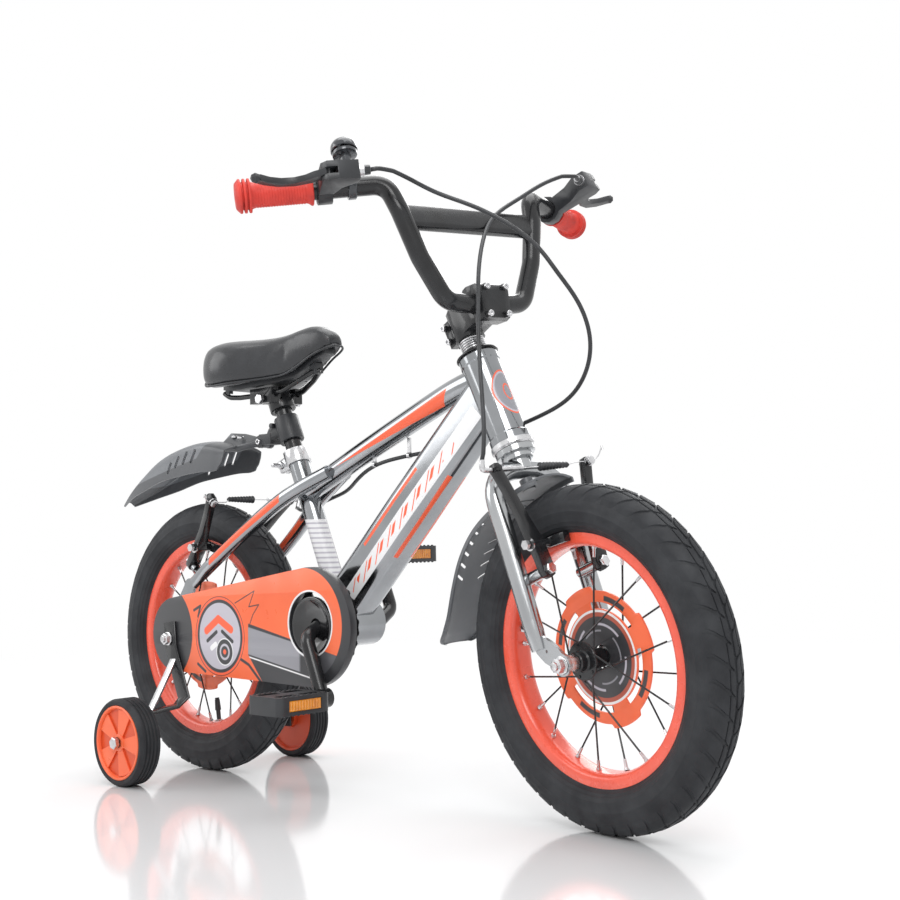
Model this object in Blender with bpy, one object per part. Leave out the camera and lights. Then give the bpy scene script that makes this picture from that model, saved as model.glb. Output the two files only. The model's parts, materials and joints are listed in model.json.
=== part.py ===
import math

import bmesh
import bpy
import numpy as np
from mathutils import Matrix, Vector
from mathutils.geometry import tessellate_polygon

# Children's 14 inch bicycle with training wheels, metres, +Z up.
# Working frame: X forward, Y to the rider's left, origin on the floor under the rear axle.
# Steering parts are laid out as (forward, left, up the steering axis) about STEER_ORIGIN.

GAP = 0.0003
FIT = 0.0004

# wheels
WHEEL_RADIUS = 0.183
TYRE_HALF_WIDTH = 0.026
CROWN_RADIUS = 0.05
RIM_RADIUS = 0.133
RIM_HALF_WIDTH = 0.0156
RIM_WALL = 0.002
RIM_BED = RIM_RADIUS - 0.0152
RIM_SHOULDER = RIM_RADIUS - 0.0115
RIM_SEAT = RIM_RADIUS - 0.0065
WHEEL_SEGMENTS = 28
SPOKE_COUNT = 20
SPOKE_RADIUS = 0.0010
SPOKE_SWING = math.radians(58.0)
FRONT_SPOKE_PHASE = math.radians(7.0)
REAR_SPOKE_PHASE = math.radians(1.0)
HUB_BARREL_RADIUS = 0.012
HUB_FLANGE_RADIUS = 0.0205
HUB_FLANGE_OFFSET = 0.022
HUB_FLANGE_HALF = 0.0014
HUB_HOLE_RADIUS = 0.0172
HUB_HALF_LENGTH = 0.033
AXLE_RADIUS = 0.0048
AXLE_BORE = AXLE_RADIUS + FIT
CONE_RADIUS = 0.0085
DISC_THICKNESS = 0.0024
DISC_OFFSET = 0.0055
DISC_INNER_EDGE = 0.051
DISC_RING_INNER = 0.058
DISC_RING_OUTER = 0.070
DISC_BUMP = 0.0745

# steering layout
WHEELBASE = 0.6613
HEAD_ANGLE = math.radians(65.16)
STEER_ANGLE = math.radians(-9.9)
FORK_OFFSET = 0.0036
STEERER_RADIUS = 0.0127
HEAD_TUBE_RADIUS = 0.022
HEAD_TUBE_BORE = 0.017
HEAD_TUBE_BOTTOM = 0.256
HEAD_TUBE_TOP = 0.368
CUP_RADIUS = 0.0248
CUP_DROP = 0.0075
CROWN_RACE_BOTTOM = 0.2345
LEG_SPREAD = 0.050
LEG_RADIUS = 0.0108
LEG_FOOT_RADIUS = 0.0085
LEG_TILT = math.radians(6.34)
DROPOUT_HALF = 0.0020
STEM_BOTTOM = 0.3925
STEM_TOP = 0.4315
STEM_RADIUS = 0.0175
BAR_RADIUS = 0.0108
BAR_CLAMP_U = 0.0440
BAR_CLAMP_S = 0.4130
BAR_CLAMP_HALF = 0.0200
BAR_CLAMP_RADIUS = 0.0175
PLATE_TILT = math.radians(19.3)
GRIP_START = (0.0730, 0.1060, 0.5480)
GRIP_END = (0.0020, 0.2505, 0.5710)
GRIP_RADIUS = 0.0135
GRIP_FLANGE_RADIUS = 0.0185
GRIP_INNER = 0.082
BRACKET_PLACE = 0.0695
BELL_PLACE = 0.0390
LEVER_PIVOT_REACH = 0.061
ADJUSTER_REACH = 0.058
ADJUSTER_END = 0.044
LEVER_SLOT = 0.0072
LEVER_HALF = LEVER_SLOT / 2.0 - GAP
LEVER_PIN_RADIUS = 0.0024
LEVER_TILT_RIGHT = math.radians(-18.0)
LEVER_TILT_LEFT = math.radians(0.0)
CABLE_RADIUS = 0.0024
WIRE_RADIUS = 0.0009

# frame
BRACKET_CENTRE = (0.283, 0.0, 0.208)
SHELL_RADIUS = 0.0285
SHELL_HALF = 0.034
SHELL_BORE = 0.0256
SEAT_TUBE_RADIUS = 0.0135
SEAT_TUBE_SLOPE = -0.42
SEAT_TUBE_REF = (0.2145, 0.3528)
SEAT_TUBE_TOP = 0.429
POST_RADIUS = 0.0111
POST_BORE = POST_RADIUS + FIT
POST_TOP = 0.5050
POST_INSERT = 0.320
TOP_TUBE_RADIUS = 0.0150
DOWN_TUBE_HEIGHT = 0.056
DOWN_TUBE_WIDTH = 0.046
DOWN_TUBE_CORNER = 0.013
STAY_OUTER = 0.054
DROPOUT_INNER = 0.0520
DROPOUT_OUTER = 0.0560

# drive
CRANK_LENGTH = 0.089
CRANK_ANGLE = math.radians(-68.0)
CRANK_ROD = 0.0085
CRANK_PLANE = 0.0770
CHAIN_LINE = -0.0460
CHAIN_PITCH = 0.0127
RING_TEETH = 28
SPROCKET_TEETH = 16
CHAIN_HALF_HEIGHT = 0.0040
CHAIN_HALF_WIDTH = 0.0040
PEDAL_CENTRE = 0.1290
PEDAL_HALF_WIDTH = 0.0385
PEDAL_HALF_LENGTH = 0.0290
PEDAL_HALF_HEIGHT = 0.0105
SPINDLE_RADIUS = 0.0050
GUARD_FACE = 0.0670
GUARD_BACK = 0.0568
GUARD_WALL = 0.0022
GUARD_FRONT_RADIUS = 0.072
GUARD_REAR_RADIUS = 0.049
GUARD_REAR_CENTRE = (0.008, 0.189)
GUARD_WINDOW_RADIUS = 0.0387

# brakes
BRAKE_PIVOT_SPREAD = 0.0395
BRAKE_PIVOT_UP = 0.0975
BRAKE_LEAN = math.radians(5.0)
BRAKE_ARM_LENGTH = 0.116
BRAKE_ARM_THICK = 0.0090
BRAKE_PAD_UP = 0.0295
BRAKE_PAD_CLEAR = 0.0014
BRAKE_PAD_THICK = 0.0085
BOSS_RADIUS = 0.0065
STUD_RADIUS = 0.0038
REAR_PIVOT = (0.013, 0.283)
REAR_ARM_ANGLE = math.radians(47.6)

# training wheels
STAB_RADIUS = 0.056
STAB_CENTRE = (0.010, 0.1437, 0.056)
STAB_HALF_WIDTH = 0.0155
STAB_RIM_RADIUS = 0.0470
STAB_PLATE = 0.0673
STAB_PLATE_THICK = 0.0040

# saddle and mudguards
RAIL_RADIUS = 0.0034
SHEET = 0.0022


for old in list(bpy.data.objects):
    bpy.data.objects.remove(old, do_unlink=True)

SCENE = bpy.context.scene.collection


def rotation(axis, angle):
    return Matrix.Rotation(angle, 4, axis)


def frame_matrix(origin, x_axis, y_axis, z_axis):
    columns = [Vector(x_axis).normalized(), Vector(y_axis).normalized(), Vector(z_axis).normalized()]
    matrix = Matrix.Identity(4)
    for column, vector in enumerate(columns):
        for row in range(3):
            matrix[row][column] = vector[row]
    matrix.translation = Vector(origin)
    return matrix


def solid(points, faces, label="piece"):
    mesh = bpy.data.meshes.new(label)
    mesh.from_pydata([tuple(p) for p in points], [], faces)
    work = bmesh.new()
    work.from_mesh(mesh)
    bmesh.ops.remove_doubles(work, verts=work.verts, dist=1e-6)
    bmesh.ops.recalc_face_normals(work, faces=work.faces)
    work.to_mesh(mesh)
    work.free()
    made = bpy.data.objects.new(label, mesh)
    SCENE.objects.link(made)
    return made


def loft(rings, closed=False):
    """Skin rings of equal length; open lofts get flat caps."""
    count = len(rings[0])
    points = [p for ring in rings for p in ring]
    faces = []
    spans = len(rings) if closed else len(rings) - 1
    for i in range(spans):
        a = i * count
        b = ((i + 1) % len(rings)) * count
        for j in range(count):
            k = (j + 1) % count
            faces.append((a + j, a + k, b + k, b + j))
    if not closed:
        faces.append(tuple(range(count)))
        faces.append(tuple(reversed(range((len(rings) - 1) * count, len(rings) * count))))
    return solid(points, faces)


def revolve(profile, segments=24, closed=False, phase=0.0):
    """Turn (radius, height) points about the local Y axis, height along Y."""
    points = []
    index = []
    for radius, height in profile:
        if radius < 1e-7:
            index.append([len(points)] * segments)
            points.append((0.0, height, 0.0))
            continue
        ring = []
        for i in range(segments):
            angle = phase + 2.0 * math.pi * i / segments
            ring.append(len(points))
            points.append((radius * math.cos(angle), height, radius * math.sin(angle)))
        index.append(ring)
    faces = []
    spans = len(profile) if closed else len(profile) - 1
    for r in range(spans):
        a = index[r]
        b = index[(r + 1) % len(profile)]
        for i in range(segments):
            j = (i + 1) % segments
            corners = [a[i], a[j], b[j], b[i]]
            unique = list(dict.fromkeys(corners))
            if len(unique) > 2:
                faces.append(tuple(unique))
    if not closed:
        for ring in (index[0], index[-1]):
            if len(set(ring)) > 2:
                faces.append(tuple(ring))
    return solid(points, faces)


def circle(radius, sides, flat=1.0):
    steps = [2.0 * math.pi * (i + 0.5) / sides for i in range(sides)]
    return [(radius * math.cos(a), radius * flat * math.sin(a)) for a in steps]


def rounded_box(width, height, corner, steps=3):
    outline = []
    for quarter, (sx, sy) in enumerate(((1, 1), (-1, 1), (-1, -1), (1, -1))):
        cx = sx * (width / 2.0 - corner)
        cy = sy * (height / 2.0 - corner)
        for i in range(steps + 1):
            angle = math.pi / 2.0 * (quarter + i / steps)
            outline.append((cx + corner * math.cos(angle), cy + corner * math.sin(angle)))
    return outline


def sweep(path, section, scales=None, side=(0.0, 1.0, 0.0)):
    """Carry a section along a path; its first direction stays near the side vector."""
    path = [Vector(p) for p in path]
    lateral = Vector(side)
    rings = []
    for i, point in enumerate(path):
        before = path[max(i - 1, 0)]
        after = path[min(i + 1, len(path) - 1)]
        into = (point - before).normalized() if i > 0 else (after - point).normalized()
        out = (after - point).normalized() if i < len(path) - 1 else into
        tangent = (into + out).normalized()
        lateral = (lateral - tangent * lateral.dot(tangent)).normalized()
        normal = tangent.cross(lateral)
        scale = scales[i] if scales else 1.0
        if not isinstance(scale, tuple):
            scale = (scale, scale)
        stretch = 1.0 / max(0.6, tangent.dot(into))
        bend = (out - into)
        bend = bend.normalized() if bend.length > 1e-4 else None
        ring = []
        for a, b in section:
            offset = lateral * (a * scale[0]) + normal * (b * scale[1])
            if bend is not None:
                offset += bend * offset.dot(bend) * (stretch - 1.0)
            ring.append(point + offset)
        rings.append(ring)
    return loft(rings)


def rod(start, end, radius, sides=12, end_radius=None):
    ratio = (end_radius if end_radius is not None else radius) / radius
    direction = Vector(end) - Vector(start)
    side = (0.0, 1.0, 0.0) if abs(direction.normalized().y) < 0.9 else (1.0, 0.0, 0.0)
    return sweep([start, end], circle(radius, sides), [1.0, ratio], side)


def box(size, centre, turn=None):
    x, y, z = (s / 2.0 for s in size)
    corners = [Vector((sx * x, sy * y, sz * z)) for sx in (-1, 1) for sy in (-1, 1) for sz in (-1, 1)]
    if turn is not None:
        corners = [turn @ c for c in corners]
    points = [c + Vector(centre) for c in corners]
    faces = [(0, 1, 3, 2), (4, 6, 7, 5), (0, 4, 5, 1), (2, 3, 7, 6), (0, 2, 6, 4), (1, 5, 7, 3)]
    return solid(points, faces)


def bore(radius, sides):
    """Radius of a many-sided hole whose flats clear a round of the given radius."""
    return (radius + GAP) / math.cos(math.pi / sides)


def plate(outline, y_low, y_high, holes=()):
    """Flat piece in the XZ plane between two Y levels, with through holes."""
    loops = [list(outline)] + [list(h) for h in holes]
    flat = [Vector((p[0], p[1], 0.0)) for loop in loops for p in loop]
    triangles = tessellate_polygon([[Vector((p[0], p[1], 0.0)) for p in loop] for loop in loops])
    total = len(flat)
    points = [(p.x, y_low, p.y) for p in flat] + [(p.x, y_high, p.y) for p in flat]
    faces = [tuple(t) for t in triangles] + [tuple(i + total for i in reversed(t)) for t in triangles]
    start = 0
    for loop in loops:
        for i in range(len(loop)):
            j = (i + 1) % len(loop)
            faces.append((start + i, start + j, start + j + total, start + i + total))
        start += len(loop)
    return solid(points, faces)


def arc(centre, radius, start, end, steps):
    angles = [math.radians(start + (end - start) * i / steps) for i in range(steps + 1)]
    return [(centre[0] + radius * math.cos(a), centre[1] + radius * math.sin(a)) for a in angles]


def ring_points(centre, radius, sides, phase=0.0):
    return [
        (centre[0] + radius * math.cos(phase + 2.0 * math.pi * i / sides),
         centre[1] + radius * math.sin(phase + 2.0 * math.pi * i / sides))
        for i in range(sides)
    ]


def smooth_path(points, spacing):
    """Centripetal Catmull-Rom curve through the points, resampled at even steps."""
    pts = [Vector(p) for p in points]
    pts = [pts[0] * 2.0 - pts[1]] + pts + [pts[-1] * 2.0 - pts[-2]]
    fine = []
    for i in range(1, len(pts) - 2):
        p0, p1, p2, p3 = pts[i - 1:i + 3]
        knots = [0.0]
        for a, b in ((p0, p1), (p1, p2), (p2, p3)):
            knots.append(knots[-1] + max((b - a).length, 1e-6) ** 0.5)
        for step in range(16):
            t = knots[1] + (knots[2] - knots[1]) * step / 16.0
            a1 = p0.lerp(p1, (t - knots[0]) / (knots[1] - knots[0]))
            a2 = p1.lerp(p2, (t - knots[1]) / (knots[2] - knots[1]))
            a3 = p2.lerp(p3, (t - knots[2]) / (knots[3] - knots[2]))
            b1 = a1.lerp(a2, (t - knots[0]) / (knots[2] - knots[0]))
            b2 = a2.lerp(a3, (t - knots[1]) / (knots[3] - knots[1]))
            fine.append(b1.lerp(b2, (t - knots[1]) / (knots[2] - knots[1])))
    fine.append(pts[-2])
    lengths = [0.0]
    for a, b in zip(fine, fine[1:]):
        lengths.append(lengths[-1] + (b - a).length)
    count = max(2, round(lengths[-1] / spacing))
    even = []
    for i in range(count + 1):
        want = lengths[-1] * i / count
        even.append(Vector([float(np.interp(want, lengths, [p[k] for p in fine])) for k in range(3)]))
    return even


def rounded_path(points, radius, steps=4):
    """Polyline whose inner corners are replaced by arcs."""
    pts = [Vector(p) for p in points]
    out = [pts[0]]
    for before, corner, after in zip(pts, pts[1:], pts[2:]):
        to_before = (before - corner).normalized()
        to_after = (after - corner).normalized()
        angle = to_before.angle(to_after)
        reach = radius / math.tan(angle / 2.0)
        limit = 0.48 * min((before - corner).length, (after - corner).length)
        reach = min(reach, limit)
        first = corner + to_before * reach
        last = corner + to_after * reach
        for i in range(steps + 1):
            t = i / steps
            out.append(first.lerp(corner, t).lerp(corner.lerp(last, t), t))
    out.append(pts[-1])
    return out


def discard(piece):
    mesh = piece.data
    bpy.data.objects.remove(piece, do_unlink=True)
    bpy.data.meshes.remove(mesh)


def combine(base, tools, operation):
    for tool in tools:
        step = base.modifiers.new(operation.lower(), "BOOLEAN")
        step.operation = operation
        step.solver = "EXACT"
        step.object = tool
        evaluated = base.evaluated_get(bpy.context.evaluated_depsgraph_get())
        result = bpy.data.meshes.new_from_object(evaluated)
        base.modifiers.remove(step)
        former = base.data
        base.data = result
        bpy.data.meshes.remove(former)
    for tool in tools:
        discard(tool)
    return base


def fuse(base, *tools):
    return combine(base, tools, "UNION")


def cut(base, *tools):
    return combine(base, tools, "DIFFERENCE")


def moved(piece, matrix):
    piece.data.transform(matrix)
    if matrix.determinant() < 0.0:
        piece.data.flip_normals()
    piece.data.update()
    return piece


def copied(piece, matrix=None):
    made = bpy.data.objects.new("copy", piece.data.copy())
    SCENE.objects.link(made)
    return moved(made, matrix) if matrix is not None else made


MIRROR = Matrix.Scale(-1.0, 4, (0.0, 1.0, 0.0))


def mirrored(piece):
    return copied(piece, MIRROR)


FINISHES = {
    "frame_paint": ((0.42, 0.43, 0.45), 0.85, 0.22),
    "steel": ((0.72, 0.73, 0.75), 1.0, 0.25),
    "black_metal": ((0.02, 0.02, 0.022), 0.3, 0.35),
    "orange_rim": ((0.85, 0.16, 0.09), 0.0, 0.35),
    "orange_plastic": ((0.90, 0.20, 0.06), 0.0, 0.4),
    "tyre_rubber": ((0.025, 0.026, 0.028), 0.0, 0.75),
    "black_plastic": ((0.03, 0.03, 0.033), 0.0, 0.45),
    "grip_rubber": ((0.62, 0.06, 0.05), 0.0, 0.6),
    "vinyl": ((0.02, 0.02, 0.022), 0.0, 0.4),
    "bell_cap": ((0.05, 0.05, 0.055), 0.6, 0.25),
}


def material(slot):
    found = bpy.data.materials.get(slot)
    if found:
        return found
    colour, metallic, roughness = FINISHES[slot]
    made = bpy.data.materials.new(slot)
    made.use_nodes = True
    shader = made.node_tree.nodes["Principled BSDF"]
    shader.inputs["Base Color"].default_value = (*colour, 1.0)
    shader.inputs["Metallic"].default_value = metallic
    shader.inputs["Roughness"].default_value = roughness
    made.diffuse_color = (*colour, 1.0)
    return made


def body(name, parent, matrix):
    empty = bpy.data.objects.new(name, None)
    SCENE.objects.link(empty)
    empty.parent = parent
    empty.matrix_local = matrix
    return empty


def finish(name, piece, parent, slot, sharp=35.0):
    piece.name = name
    piece.data.name = name
    piece.parent = parent
    piece.data.materials.clear()
    piece.data.materials.append(material(slot))
    for face in piece.data.polygons:
        face.material_index = 0
        face.use_smooth = True
    piece.data.set_sharp_from_angle(angle=math.radians(sharp))
    return piece


# bodies
wheel_lean = math.asin(math.sin(abs(STEER_ANGLE)) * math.cos(HEAD_ANGLE))
front_height = (WHEEL_RADIUS - CROWN_RADIUS) * math.cos(wheel_lean) + CROWN_RADIUS
STEER_ORIGIN = Vector((WHEELBASE - FORK_OFFSET * math.sin(HEAD_ANGLE), 0.0,
                       front_height - FORK_OFFSET * math.cos(HEAD_ANGLE)))
steer_axis = Vector((-math.cos(HEAD_ANGLE), 0.0, math.sin(HEAD_ANGLE)))
steer_forward = Vector((math.sin(HEAD_ANGLE), 0.0, math.cos(HEAD_ANGLE)))
HEAD = frame_matrix(STEER_ORIGIN, steer_forward, (0.0, 1.0, 0.0), steer_axis)
AXLE = Vector((0.0, 0.0, WHEEL_RADIUS))
BRACKET = Vector(BRACKET_CENTRE)
post_direction = Vector((SEAT_TUBE_SLOPE, 0.0, 1.0)).normalized()


def on_seat_tube(height):
    return Vector((SEAT_TUBE_REF[0] + SEAT_TUBE_SLOPE * (height - SEAT_TUBE_REF[1]), 0.0, height))


def translate(point):
    return Matrix.Translation(Vector(point))


HINGE = Vector((0.121, 0.0, 0.444))
root = body("bicycle", None, Matrix.Identity(4))
steering = body("steering", root, HEAD @ rotation("Z", STEER_ANGLE))
front_wheel = body("front_wheel", steering, translate((FORK_OFFSET, 0.0, 0.0)))
rear_wheel = body("rear_wheel", root, translate(AXLE))
freewheel = body("freewheel", root, translate(AXLE))
crank_body = body("crank_body", root, translate(BRACKET))
crank_reach = Vector((math.cos(CRANK_ANGLE), 0.0, math.sin(CRANK_ANGLE))) * CRANK_LENGTH
pedal_reach = Vector((0.0, PEDAL_CENTRE, 0.0))
right_pedal_body = body("right_pedal_body", crank_body, translate(crank_reach - pedal_reach))
left_pedal_body = body("left_pedal_body", crank_body, translate(pedal_reach - crank_reach))
seat_body = body("seat_body", root, translate(on_seat_tube(SEAT_TUBE_TOP)))
mudguard_body = body("mudguard_body", seat_body, translate(HINGE - on_seat_tube(SEAT_TUBE_TOP)))


# wheels
def make_tyre():
    bead = RIM_HALF_WIDTH - RIM_WALL - FIT - 0.0002
    waist = (RIM_RADIUS + WHEEL_RADIUS) / 2.0 + 0.0010
    half = [(RIM_SEAT + 0.0005, bead), (RIM_RADIUS + 0.0012, bead),
            (RIM_RADIUS + 0.0110, TYRE_HALF_WIDTH - 0.0028),
            (waist, TYRE_HALF_WIDTH), (WHEEL_RADIUS - 0.0070, TYRE_HALF_WIDTH - 0.0060)]
    outer = half + [(WHEEL_RADIUS, 0.0)] + [(r, -y) for r, y in reversed(half)]
    inner = [(RIM_RADIUS + 0.0010, -0.0100), (RIM_RADIUS + 0.0010, 0.0100)]
    return revolve(outer + inner, WHEEL_SEGMENTS, closed=True)


def make_rim():
    wall = RIM_HALF_WIDTH - RIM_WALL
    half = [(RIM_BED, 0.0100), (RIM_SHOULDER, RIM_HALF_WIDTH), (RIM_RADIUS, RIM_HALF_WIDTH),
            (RIM_RADIUS, wall),
            (RIM_SEAT, wall)]
    return revolve(half + [(r, -y) for r, y in reversed(half)], WHEEL_SEGMENTS, closed=True)


def make_hub(phase):
    """Hub shell with its spokes laced through the two flanges."""
    a = HUB_FLANGE_OFFSET + HUB_FLANGE_HALF
    b = HUB_FLANGE_OFFSET - HUB_FLANGE_HALF
    outer = [(AXLE_BORE, HUB_HALF_LENGTH), (0.0105, HUB_HALF_LENGTH), (0.0105, a), (HUB_FLANGE_RADIUS, a),
             (HUB_FLANGE_RADIUS, b), (HUB_BARREL_RADIUS, b)]
    hub = revolve(outer + [(r, -y) for r, y in reversed(outer)], 12, closed=True, phase=math.pi / 12.0)
    reach = RIM_BED * math.cos(math.pi / WHEEL_SEGMENTS) - FIT
    pieces = []
    for k in range(SPOKE_COUNT):
        side = 1.0 if k % 2 == 0 else -1.0
        lead = 1.0 if (k // 2) % 2 == 0 else -1.0
        rim_angle = phase + 2.0 * math.pi * k / SPOKE_COUNT
        hub_angle = rim_angle + lead * SPOKE_SWING
        clear = HUB_FLANGE_HALF + 0.3 * SPOKE_RADIUS
        hub_y = side * (HUB_FLANGE_OFFSET + lead * clear)
        start = Vector((HUB_HOLE_RADIUS * math.cos(hub_angle), hub_y, HUB_HOLE_RADIUS * math.sin(hub_angle)))
        end = Vector((reach * math.cos(rim_angle), side * 0.0022, reach * math.sin(rim_angle)))
        pieces.append(sweep([start, end], circle(SPOKE_RADIUS * 1.2, 3)))
    return fuse(hub, *pieces)


def make_disc(side):
    """Clip-on disc: inner dish and outer ring joined by four webs, four bumps outside."""
    low = side * DISC_OFFSET
    high = side * (DISC_OFFSET + DISC_THICKNESS)
    outline = []
    for i in range(32):
        angle = 2.0 * math.pi * i / 32
        turn = (math.degrees(angle) + 45.0) % 90.0 - 45.0
        radius = DISC_BUMP if abs(turn) < 16.0 else DISC_RING_OUTER
        outline.append((radius * math.cos(angle), radius * math.sin(angle)))
    holes = [ring_points((0.0, 0.0), HUB_BARREL_RADIUS + FIT, 12, math.pi / 12.0)]
    for quarter in range(4):
        middle = 45.0 + 90.0 * quarter
        outer = arc((0.0, 0.0), DISC_RING_INNER, middle - 33.0, middle + 33.0, 3)
        inner = arc((0.0, 0.0), DISC_INNER_EDGE, middle + 33.0, middle - 33.0, 3)
        holes.append(outer + inner)
    return plate(outline, min(low, high), max(low, high), holes)


for wheel, label, phase, side in ((front_wheel, "front", FRONT_SPOKE_PHASE, 1.0),
                                  (rear_wheel, "rear", REAR_SPOKE_PHASE, -1.0)):
    finish(label + "_tyre", make_tyre(), wheel, "tyre_rubber")
    finish(label + "_rim", make_rim(), wheel, "orange_rim")
    finish(label + "_hub", make_hub(phase), wheel, "black_metal")
    finish(label + "_hub_disc", make_disc(side), wheel, "orange_plastic")


def make_axle(drop_face, right_reach, left_reach, right_nuts, left_nuts):
    """Threaded axle with cone nuts inside the dropouts and axle nuts outside, one turned piece."""
    inside = HUB_HALF_LENGTH + FIT
    pieces = [rod((0.0, -right_reach, 0.0), (0.0, left_reach, 0.0), AXLE_RADIUS, 8)]
    for side, nuts in ((-1.0, right_nuts), (1.0, left_nuts)):
        spans = [(inside, drop_face - GAP, CONE_RADIUS, 8)] + list(nuts)
        for start, end, radius, sides in spans:
            pieces.append(rod((0.0, side * start, 0.0), (0.0, side * end, 0.0), radius, sides))
    return fuse(*pieces)


# fork
def leg_centre(s):
    return -0.0024 - (0.200 - s) * math.tan(LEG_TILT)


def make_fork():
    crown = [(0.0, 0.0, 0.2245), (-0.0004, 0.018, 0.2235), (-0.0008, 0.034, 0.2180),
             (-0.0013, 0.045, 0.2070)]
    leg = [(leg_centre(s), LEG_SPREAD, s) for s in (0.190, 0.100, 0.026)]
    path = crown + leg
    foot = LEG_FOOT_RADIUS / LEG_RADIUS
    scales = [1.0, 1.0, 1.0, 1.0, 1.0, 0.97, (0.62, foot)]
    left = sweep(path[1:], circle(LEG_RADIUS, 10), scales[1:], (0.0, 1.0, 0.0))
    tip = [(leg_centre(0.040) - 0.006, 0.040), (leg_centre(0.040) + 0.006, 0.040), (0.0100, 0.0105),
           (0.0140, 0.0020), (0.0120, -0.0080), (0.0030, -0.0120), (-0.0070, -0.0080), (-0.0180, 0.0080),
           (-0.0270, 0.0220)]
    hole = ring_points((FORK_OFFSET, 0.0), AXLE_BORE, 8)
    dropout = plate(tip, LEG_SPREAD - DROPOUT_HALF, LEG_SPREAD + DROPOUT_HALF, [hole])
    arm_u = math.cos(BRAKE_LEAN)
    arm_s = -math.sin(BRAKE_LEAN)
    base = Vector((leg_centre(0.101), BRAKE_PIVOT_SPREAD, 0.1005))
    forward = Vector((arm_u, 0.0, arm_s))
    boss = rod(base, base + forward * 0.0295, BOSS_RADIUS, 8)
    stud = rod(base + forward * 0.028, base + forward * (0.0305 + BRAKE_ARM_THICK), STUD_RADIUS, 6)
    face = 0.0295 + BRAKE_ARM_THICK + 2.0 * GAP
    head = rod(base + forward * face, base + forward * (face + 0.0045), BOSS_RADIUS, 6)
    left = fuse(left, dropout, boss, stud, head)
    right = mirrored(left)
    bridge = sweep([(-0.0004, -0.022, 0.2232), (0.0, 0.0, 0.2245), (-0.0004, 0.022, 0.2232)],
                   circle(LEG_RADIUS * 1.03, 10), None, (1.0, 0.0, 0.0))
    steerer = rod((0.0, 0.0, 0.222), (0.0, 0.0, STEM_TOP - 0.003), STEERER_RADIUS, 12)
    race = rod((0.0, 0.0, CROWN_RACE_BOTTOM), (0.0, 0.0, 0.2420), 0.0175, 12)
    seal = rod((0.0, 0.0, 0.2410), (0.0, 0.0, HEAD_TUBE_BOTTOM - CUP_DROP - FIT), 0.0225, 14)
    return fuse(bridge, left, right, steerer, race, seal), base, forward


fork, boss_base, boss_forward = make_fork()
finish("fork", fork, steering, "frame_paint")
dropout_face = LEG_SPREAD + DROPOUT_HALF
front_nuts = [(dropout_face + GAP, dropout_face + 0.0016, 0.0100, 8),
              (dropout_face + 0.0014, 0.0605, 0.0080, 6)]
front_axle = make_axle(LEG_SPREAD - DROPOUT_HALF, 0.0640, 0.0640, front_nuts, front_nuts)
finish("front_axle", moved(front_axle, translate((FORK_OFFSET, 0.0, 0.0))), steering, "steel")


# headset, stem and handlebar
def upright(profile, segments=14):
    return moved(revolve(profile, segments, closed=True, phase=math.pi / segments),
                 rotation("X", math.radians(90.0)))


steerer_bore = bore(STEERER_RADIUS, 14)
cover_bottom = HEAD_TUBE_TOP + 0.0024 + GAP
headset = [(steerer_bore, cover_bottom + 0.0004), (0.0170, cover_bottom + 0.0004),
           (0.0245, cover_bottom - 0.0008), (0.0245, cover_bottom + 0.0006),
           (0.0170, cover_bottom + 0.0030), (0.0140, cover_bottom + 0.0050), (0.0140, 0.3838),
           (0.0150, 0.3842), (0.0150, STEM_BOTTOM - GAP), (steerer_bore, STEM_BOTTOM - GAP)]
finish("headset_top", upright(headset), steering, "black_metal")

plate_forward = Vector((math.cos(PLATE_TILT), 0.0, -math.sin(PLATE_TILT)))
bar_centre = Vector((BAR_CLAMP_U, 0.0, BAR_CLAMP_S))
tilt = rotation("Y", PLATE_TILT)


def clamp_shell():
    outline = rounded_box(2.0 * BAR_CLAMP_RADIUS, 2.0 * BAR_CLAMP_RADIUS + 0.008, 0.009, 2)
    shell = plate(outline, -BAR_CLAMP_HALF, BAR_CLAMP_HALF)
    return moved(shell, translate(bar_centre) @ tilt)


def clamp_bore():
    return rod((BAR_CLAMP_U, -0.03, BAR_CLAMP_S), (BAR_CLAMP_U, 0.03, BAR_CLAMP_S), bore(BAR_RADIUS, 16), 16)


def make_stem():
    collar = rod((0.0, 0.0, STEM_BOTTOM), (0.0, 0.0, STEM_TOP), STEM_RADIUS, 16)
    neck = box((0.034, 0.030, 0.031), (0.023, 0.0, 0.4125))
    ears = box((0.012, 0.020, 0.032), (-0.0195, 0.0, 0.4120))
    stem = fuse(collar, neck, ears, clamp_shell())
    front = box((0.06, 0.08, 0.08), bar_centre + plate_forward * (0.03 - GAP / 2.0), tilt.to_3x3())
    hole = rod((0.0, 0.0, 0.38), (0.0, 0.0, STEM_TOP - 0.002), bore(STEERER_RADIUS, 12), 12)
    slot = box((0.020, 0.0020, 0.06), (-0.0225, 0.0, 0.4120))
    stem = cut(stem, front, clamp_bore(), hole, slot)
    bolts = []
    for height in (0.4035, 0.4215):
        bolts.append(rod((-0.0215, -0.0135, height), (-0.0215, -0.0095, height), 0.0040, 8))
    cap = rod((0.0, 0.0, STEM_TOP - 0.001), (0.0, 0.0, STEM_TOP + 0.0035), 0.0150, 16)
    return fuse(stem, cap, *bolts)


def make_face_plate():
    rear = box((0.06, 0.08, 0.08), bar_centre - plate_forward * (0.03 - GAP / 2.0), tilt.to_3x3())
    piece = cut(clamp_shell(), rear, clamp_bore())
    bolts = []
    up = Vector((math.sin(PLATE_TILT), 0.0, math.cos(PLATE_TILT)))
    for across in (-0.0135, 0.0135):
        for rise in (-0.0155, 0.0155):
            at = bar_centre + plate_forward * (BAR_CLAMP_RADIUS - 0.003) + up * rise
            at.y = across
            bolts.append(rod(at, at + plate_forward * 0.0060, 0.0040, 8))
    return fuse(piece, *bolts)


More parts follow.
